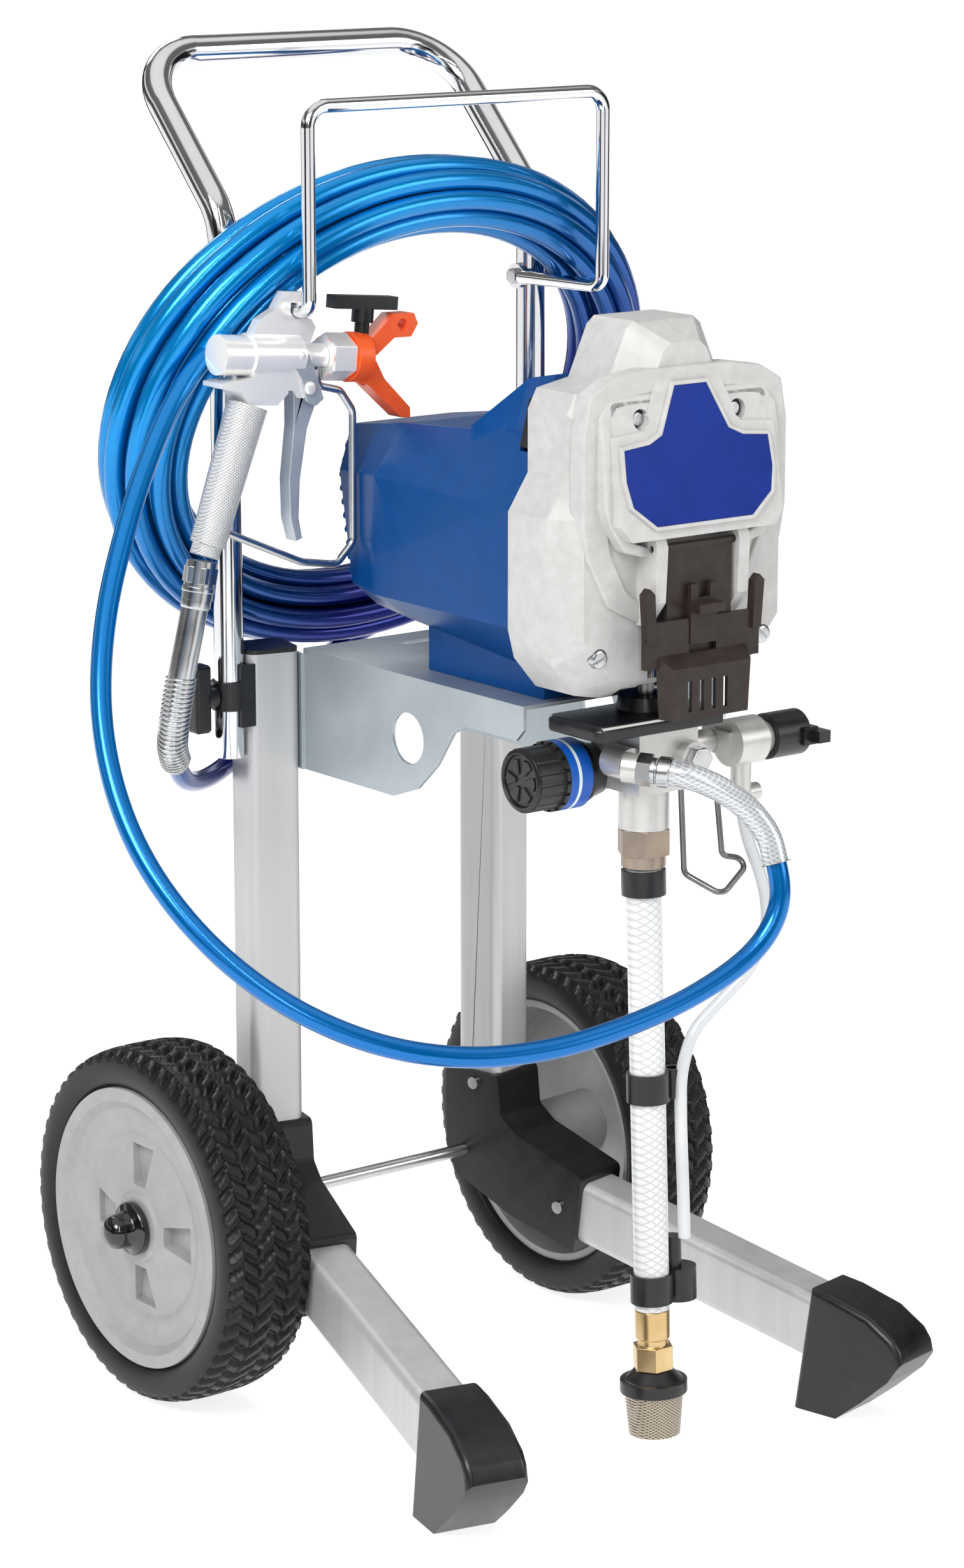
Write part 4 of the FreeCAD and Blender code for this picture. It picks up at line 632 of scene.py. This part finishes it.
# ---------------------------------------------------------------- pump
KNOB_Y, KNOB_Z, KNOB_END = -272.0, 480.0, -83.0
PUMP_Y = -297
SHROUD = [(-63, -330.6), (-66, -326), (-66, -280), (-62, -273), (38, -273), (42.6, -277),
          (42.6, -326), (39, -330.6)]
SHROUD_MIDDLE_X, SHROUD_MIDDLE_Y = -12, -300
# height, how far the outline is drawn in
SHROUD_LEVELS = [(512.6, 0.0), (519.5, 0.0), (522.8, 2.2)]
ROD_BOOT = [(522.5, 7.2), (522.5, 19.5), (527.0, 18.4), (532.0, 17.4), (532.0, 7.2)]
KNOB_COLLAR = [(-40.2, 15.2), (-40.2, 20.5), (-37, 21.5), (-29, 18.5), (-22, 17.0), (-22, 15.2)]
KNOB_RIM = [(0.0, 21.0), (-1.0, 21.0), (-2.0, 18.8), (-2.0, 17.6), (-0.6, 16.8), (0.4, 16.8)]
KNOB_RIB = [(5.0, -0.28), (14.6, -0.33), (15.6, 0.0), (14.6, 0.33), (5.0, 0.28)]
KNOB_RIBS, RIB_DEPTHS = 6, (0.2, -1.5)


def build_pump_shroud():
    """Dark moulded plate over the pump block, with its upper edge drawn in."""
    verts = []
    for z, inset in SHROUD_LEVELS:
        for x, y in SHROUD:
            dx = inset if x < SHROUD_MIDDLE_X else -inset
            dy = inset if y < SHROUD_MIDDLE_Y else -inset
            verts.append(at(x + dx, y + dy, z))
    faces = capped_faces(len(SHROUD_LEVELS), len(SHROUD))
    soften(piece("pump_shroud", verts, faces, "black_moulding", "cart"), 0.001)


def build_rod_boot():
    """Dark collar that the piston rod runs through."""
    verts = turned(ROD_BOOT, 40, lambda z, u, v: at(u, PUMP_Y + v, z))
    faces = ring_faces(len(ROD_BOOT), 40, closed=True)
    soften(piece("rod_boot", verts, faces, "black_moulding", "cart"), FINE_ROUND)


def build_knob_collar():
    verts = turned(KNOB_COLLAR, 40, lambda x, u, v: at(x, KNOB_Y + u, KNOB_Z + v))
    faces = ring_faces(len(KNOB_COLLAR), 40)
    soften(piece("knob_collar", verts, faces, "black_moulding", "cart"), FINE_ROUND)


def build_knob_face():
    """Recessed radial pattern on the end of the pressure knob."""
    verts = turned(KNOB_RIM, 48, lambda x, u, v: at(KNOB_END + x, KNOB_Y + u, KNOB_Z + v))
    faces = ring_faces(len(KNOB_RIM), 48, closed=True)
    count = len(KNOB_RIB)
    for k in range(KNOB_RIBS):
        start = len(verts)
        for x in RIB_DEPTHS:
            for radius, spread in KNOB_RIB:
                a = 2 * math.pi * k / KNOB_RIBS + spread
                verts.append(at(KNOB_END + x, KNOB_Y + radius * math.cos(a),
                                KNOB_Z + radius * math.sin(a)))
        faces += [tuple(start + v for v in quad) for quad in ring_faces(2, count)]
        faces.append(tuple(range(start + count, start + 2 * count)))
    soften(piece("knob_face", verts, faces, "black_moulding", "pressure_control"), 0.0004)


# ---------------------------------------------------------------- screws
# x of the head, turn of its slot in radians
LOWER_SCREWS, LOWER_SCREW_Y, LOWER_SCREW_Z = [(-69.0, 0.4), (69.0, -0.7)], -333.8, 569
UPPER_SCREWS, UPPER_SCREW_Y = [(-SCREW_X, 1.1), (SCREW_X, 0.3)], -335.0
# radius, height
LOWER_HEAD, UPPER_HEAD = (6.0, 2.2), (4.4, 1.2)
# height and radius as shares of the head's own, from its seat to its top
HEAD_LEVELS = [(0.0, 1.0), (0.55, 1.0), (1.0, 0.72)]
SLOT_SHARE = 0.26
WELL_FRONT, WELL_BACK, WELL_ROUND = -334.2, -331.5, 0.0002


def screw_half(radius, gap, sign, steps=14):
    """Half of a slotted head, seen along its axis."""
    start = math.asin(gap / 2 / radius)
    angles = [start + (math.pi - 2 * start) * k / steps for k in range(steps + 1)]
    return [(radius * math.cos(a), sign * radius * math.sin(a)) for a in angles]


def build_slotted_head(name, centre, radius, high, lean):
    """Slotted screw head facing -Y: a domed disc in two halves with the slot between them."""
    x, y, z = centre
    verts, faces = [], []
    for sign in (1, -1):
        for level, scale in HEAD_LEVELS:
            start = len(verts)
            half = screw_half(radius * scale, radius * SLOT_SHARE, sign)
            count = len(half)
            for u, v in half:
                verts.append(at(x + u * math.cos(lean) - v * math.sin(lean), y - high * level,
                                z + u * math.sin(lean) + v * math.cos(lean)))
            if level:
                for k in range(count):
                    a, b = start + k, start + (k + 1) % count
                    faces.append((a, b, b - count, a - count))
        faces.append(tuple(range(len(verts) - count, len(verts))))
    soften(piece(name, verts, faces, "steel", "cart"), 0.0003)


def build_screw_heads():
    for k, (x, lean) in enumerate(LOWER_SCREWS):
        place = (x, LOWER_SCREW_Y, LOWER_SCREW_Z)
        build_slotted_head(f"lower_screw_head_{k}", place, *LOWER_HEAD, lean)
    for k, (x, lean) in enumerate(UPPER_SCREWS):
        place = (x, UPPER_SCREW_Y, SCREW_Z)
        build_slotted_head(f"upper_screw_head_{k}", place, *UPPER_HEAD, lean)
        outer, inner = [[(x + u, SCREW_Z + v) for u, v in circle(radius, 32)]
                        for radius in (WELL_OUTER, WELL_INNER)]
        framed_step(f"screw_well_{k}", outer, inner, lambda z: WELL_FRONT, lambda z: WELL_BACK,
                    slot="black_moulding", width=WELL_ROUND)


# ---------------------------------------------------------------- lines and what winds round them
def curve_object(name, points, diameter, resolution=6):
    """One smooth NURBS line led by control points, given as a round tube."""
    data = bpy.data.curves.new(name, "CURVE")
    data.dimensions = "3D"
    spline = data.splines.new("NURBS")
    spline.points.add(len(points) - 1)
    for point, place in zip(spline.points, points):
        point.co = (*place, 1)
    spline.order_u = 3
    spline.use_endpoint_u = True
    spline.resolution_u = resolution
    data.bevel_depth = diameter / 2
    data.bevel_resolution = 5
    data.use_fill_caps = True
    obj = bpy.data.objects.new(name, data)
    bpy.context.scene.collection.objects.link(obj)
    return obj


def line_of(curve):
    """The points of a curve's own line, read from the NURBS spline without its bevel."""
    depth = curve.data.bevel_depth
    curve.data.bevel_depth = 0
    bpy.context.view_layer.update()
    plain = bpy.data.meshes.new_from_object(curve.evaluated_get(
        bpy.context.evaluated_depsgraph_get()))
    points = [v.co.copy() for v in plain.vertices]
    bpy.data.meshes.remove(plain)
    curve.data.bevel_depth = depth
    return points


def tube_mesh(name, curve):
    """The curve's round tube as a mesh."""
    bpy.context.view_layer.update()
    mesh = bpy.data.meshes.new_from_object(curve.evaluated_get(
        bpy.context.evaluated_depsgraph_get()))
    mesh.name = name
    obj = bpy.data.objects.new(name, mesh)
    bpy.context.scene.collection.objects.link(obj)
    for polygon in mesh.polygons:
        polygon.use_smooth = True
    return obj


class Path:
    """The smooth line that a route's points lead, with places and directions along it."""

    def __init__(self, route):
        guide = curve_object("path_guide", [at(*p) for p in route], 0.001, 14)
        self.line = line_of(guide)
        bpy.data.objects.remove(guide)
        self.reached = [0.0]
        for a, b in zip(self.line, self.line[1:]):
            self.reached.append(self.reached[-1] + (b - a).length)
        self.length = self.reached[-1]

    def frame_at(self, distance):
        """Place, direction and two directions across, at a distance along the line."""
        last = len(self.reached) - 1
        k = max(j for j in range(last) if self.reached[j] <= distance + 1e-9)
        share = (distance - self.reached[k]) / (self.reached[k + 1] - self.reached[k])
        middle = self.line[k].lerp(self.line[k + 1], min(1.0, share))
        along = (self.line[k + 1] - self.line[k]).normalized()
        u = (Vector((0, 1, 0)) - along * along.y).normalized()
        return middle, along, u, along.cross(u)


def helix_tube(name, route, radius, wire, pitch, slot, body, start=0.0, end=1.0):
    """A round wire wound about a route's smooth line; radius, wire and pitch in metres."""
    path = Path(route)
    first, last = start * path.length, end * path.length
    per_turn, around = 16, 6
    count = int((last - first) / pitch * per_turn)
    verts = []
    for i in range(count + 1):
        distance = first + (last - first) * i / count
        middle, along, u, v = path.frame_at(distance)
        a = 2 * math.pi * (distance - first) / pitch
        out = u * math.cos(a) + v * math.sin(a)
        verts += [middle + out * (radius + s) + along * t for s, t in circle(wire, around)]
    return piece(name, verts, capped_faces(count + 1, around), slot, body)


def turned_band(name, route, where, radii, slot, body, sides=32, twist=0.0):
    """A collar or hexagon turned about a route, from (distance past where, radius) in metres."""
    path = Path(route)
    verts = []
    for offset, radius in radii:
        distance = min(max(where + offset, 0.0), path.length - 1e-6)
        middle, _, u, v = path.frame_at(distance)
        verts += [middle + u * s + v * t for s, t in circle(radius, sides, twist)]
    band = piece(name, verts, capped_faces(len(radii), sides), slot, body)
    soften(band, 0.0004, 28)


# ---------------------------------------------------------------- gun
GUN_TILT = math.radians(5.2)
TRIGGER_PLATE = [(-10, 5), (-2, 8), (6, 2), (13, -12), (20, -27), (14, -32), (6, -29), (1, -15),
                 (-8, -4)]
PLATE_IN, PLATE_OUT = 11.1, 13.2
PIN_LOW, PIN_HIGH = 14.4, 15.0
TRIGGER_PINS = [(8, -20, 4.4), (-1, 1, 3.4)]
# distance along the gun, distance from its axis to a flat
GUARD_NUT = [(25.4, 13.0), (26.6, 14.2), (44.4, 14.2), (45.8, 13.2)]


def on_gun(x, y, z):
    """Millimetres along, across and up from the gun's own axis to row-frame metres."""
    return at(-127 + x * math.cos(GUN_TILT) + z * math.sin(GUN_TILT), -78 + y,
              741.5 - x * math.sin(GUN_TILT) + z * math.cos(GUN_TILT))


def build_guard_nut():
    """Hexagon nut that holds the spray guard on the gun."""
    corners = [(x, flat / math.cos(math.pi / 6)) for x, flat in GUARD_NUT]
    verts = turned(corners, 6, on_gun, twist=math.pi / 6)
    nut = piece("guard_nut", verts, capped_faces(len(corners), 6), "light_metal", "spray_guard")
    soften(nut, FINE_ROUND)


def build_trigger_yoke():
    """Pale side plates over the trigger's pivot, with their two pins."""
    for k, (_, side) in enumerate(SIDES):
        verts = [on_gun(x, side * y, z) for y in (PLATE_IN, PLATE_OUT) for x, z in TRIGGER_PLATE]
        yoke = piece(f"trigger_plate_{k}", verts, capped_faces(2, len(TRIGGER_PLATE)),
                     "light_metal", "handle", TRIGGER)
        soften(yoke, FINE_ROUND)
        for j, (x, z, radius) in enumerate(TRIGGER_PINS):
            profile = [(PLATE_IN, radius), (PIN_LOW, radius), (PIN_HIGH, radius * 0.7)]
            verts = turned(profile, 20, lambda y, u, v: on_gun(x + u, side * y, z + v))
            piece(f"trigger_pin_{k}_{j}", verts, capped_faces(3, 20), "light_metal", "handle")


# ---------------------------------------------------------------- hose fittings
SLEEVE_ROUTE = [(-25.8, -341.1, 491.1), (-15, -356, 490), (-1, -372, 483), (13, -386, 470),
                (22, -397, 452), (23.5, -402.5, 434.5)]
GUN_END_ROUTE = [(-205, -78, 588), (-212, -78, 560), (-219, -77, 530), (-222, -73, 500),
                 (-218, -64, 481), (-207, -53, 470)]
NOSE_ROUTE = [(-200.5, -78, 611), (-202.5, -78, 601), (-205, -78, 588)]


# metres: spring radius, wire radius, pitch; then where it runs, as shares of its route
SPRING_RADIUS, SPRING_WIRE, SPRING_PITCH = 0.0098, 0.00085, 0.0031
SPRING_START, SPRING_END = 0.42, 0.98
# name, route, distance along it, profile of (distance past that, radius), slot, body
SWIVEL_NUT = ("swivel_nut", NOSE_ROUTE, 0.004, [(0, 0.0118), (0.011, 0.0118)], "steel", "handle")
NUT_TURN = 0.3
HOSE_BANDS = [
    ("swivel_ring", NOSE_ROUTE, 0.0165,
     [(0, 0.0096), (0.001, 0.0112), (0.004, 0.0112), (0.005, 0.0096)], "steel", "handle"),
    ("guard_ferrule", GUN_END_ROUTE, 0.001,
     [(0, 0.0092), (0.001, 0.0102), (0.006, 0.0102), (0.008, 0.0094)], "steel", "handle"),
    ("sleeve_ferrule", SLEEVE_ROUTE, 0.118,
     [(0, 0.0088), (0.0006, 0.0099), (0.004, 0.0099), (0.0046, 0.0088)], "black_moulding", "cart"),
    ("sleeve_crimp", SLEEVE_ROUTE, 0.0006,
     [(0, 0.0090), (0.001, 0.0104), (0.008, 0.0104), (0.009, 0.0092)], "steel", "cart"),
]


def build_hose_trim():
    """Spring guard, swivel nut, ring, crimp and ferrules where the hose meets gun and pump."""
    helix_tube("spring_guard", GUN_END_ROUTE, SPRING_RADIUS, SPRING_WIRE, SPRING_PITCH, "steel",
               "handle", start=SPRING_START, end=SPRING_END)
    turned_band(*SWIVEL_NUT, sides=6, twist=NUT_TURN)
    for band in HOSE_BANDS:
        turned_band(*band)


# ---------------------------------------------------------------- cords
HOSE = 0.014
FRONT_ROUTE = [(23.5, -402.6, 434.2), (24.5, -407, 420), (20, -408.5, 401), (6, -407, 382),
               (-19, -403, 366), (-55, -398, 352), (-100, -392, 341.5), (-150, -384, 335),
               (-205, -369, 336), (-260, -346, 350), (-306, -309, 378), (-337, -264, 418),
               (-351, -216, 469), (-343, -171, 529), (-316, -135, 592), (-275, -104, 652),
               (-238, -80, 694), (-204, -62, 726)]
COIL_APPROACH = (-168, -56, 756)
JOIN_LEAD = 0.014
GUN_ROUTE = [(2, 53, 508), (-40, 52, 476), (-80, 43, 450), (-116, 27, 438),
             (-148, 3, 439), (-176, -20, 446), (-196, -40, 458), (-207, -53, 470)]
COIL_WIDTH, COIL_RISE, COIL_LEAN = 198.0, 153.0, 58.0
COIL_CENTRE = Vector((0, -7.5, 690.5))
# where each turn lies in the bundle's round section: distance from its middle, angle
TURN_SLOTS = [(20.4, -70), (20.4, -110), (20.4, -150), (20.4, -190), (20.4, -230), (8.0, -235),
              (8.0, -355), (8.0, -475), (20.4, -390), (20.4, -350), (20.4, -310), (20.4, -270)]
COIL_START, COIL_END = 135.0, -78.0
POINTS_PER_TURN = 18
COIL_FAN, FAN_ANGLE = 0.3, 168
LOOSENESS = 0.5


def coil_point(angle, radius, lie):
    """A point of the bundle, in axle-frame millimetres: angle round the ring, then in its section."""
    up = Vector((0, -COIL_LEAN, COIL_RISE))
    height = up.length
    up.normalize()
    across = Vector((1, 0, 0))
    front = across.cross(up)
    a = math.radians(angle)
    middle = COIL_CENTRE + across * COIL_WIDTH * math.cos(a) + up * height * math.sin(a)
    out = (across * math.cos(a) / COIL_WIDTH + up * math.sin(a) / height).normalized()
    s = math.radians(lie)
    return middle + front * radius * math.cos(s) + out * radius * math.sin(s)


def coil_points():
    """Points for every turn of the hose, moving one place round the bundle with each turn."""
    dice = random.Random(7)
    last = COIL_END - 360 * (len(TURN_SLOTS) - 1)
    steps = int((COIL_START - last) / (360 / POINTS_PER_TURN))
    points = []
    for i in range(steps + 1):
        angle = COIL_START - (COIL_START - last) * i / steps
        turns_done = (COIL_START - angle) / 360
        k = min(int(turns_done), len(TURN_SLOTS) - 2)
        share = min(1.0, max(0.0, turns_done - k))
        share = share * share * (3 - 2 * share)
        (r0, s0), (r1, s1) = TURN_SLOTS[k], TURN_SLOTS[k + 1]
        loose = dice.uniform(-LOOSENESS, LOOSENESS)
        spread = 1 + COIL_FAN * max(0.0, math.cos(math.radians(angle - FAN_ANGLE))) ** 2
        radius = (r0 + (r1 - r0) * share) * spread + loose
        points.append(coil_point(angle, radius, s0 + (s1 - s0) * share))
    return points


def hose_from(name, points, resolution, material):
    """A hose's tube mesh led by control points, and the points of its own line."""
    guide = curve_object(f"{name}_guide", points, HOSE, resolution)
    line = line_of(guide)
    hose = tube_mesh(name, guide)
    bpy.data.objects.remove(guide)
    hose.data.materials.append(material)
    return hose, line


def make_front_hose(coil):
    """From the pump's sleeve round to the top left of the coil."""
    join = at(*coil[0])
    ahead = at(*coil[1]) - join
    control = [at(*p) for p in FRONT_ROUTE]
    control += [at(*COIL_APPROACH), join - ahead.normalized() * JOIN_LEAD, join]
    hose, line = hose_from("front_hose", control, 10, MAT["blue_hose"])
    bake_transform(hose)
    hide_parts("hose_front_run")


def make_coiled_hose(coil):
    """The coil on the rack and the run from it up to the gun."""
    control = [at(*p) for p in coil] + [at(*p) for p in GUN_ROUTE]
    hose, line = hose_from("coiled_hose", control, 5, COILED_PAINTED_SHADE)
    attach(hose, "handle")
    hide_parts("hose_coil", "hose_gun_run")


def make_cords():
    coil = coil_points()
    make_front_hose(coil)
    make_coiled_hose(coil)


make_camera()
make_studio()
dress_cad()
make_cords()
for word, side in SIDES:
    build_tyre(word, side)
build_axle_noses()
build_cover_steps()
build_rear_louvres()
build_screw_heads()
build_knob_face()
build_pump_shroud()
build_rod_boot()
build_knob_collar()
build_hose_trim()
build_guard_nut()
build_trigger_yoke()
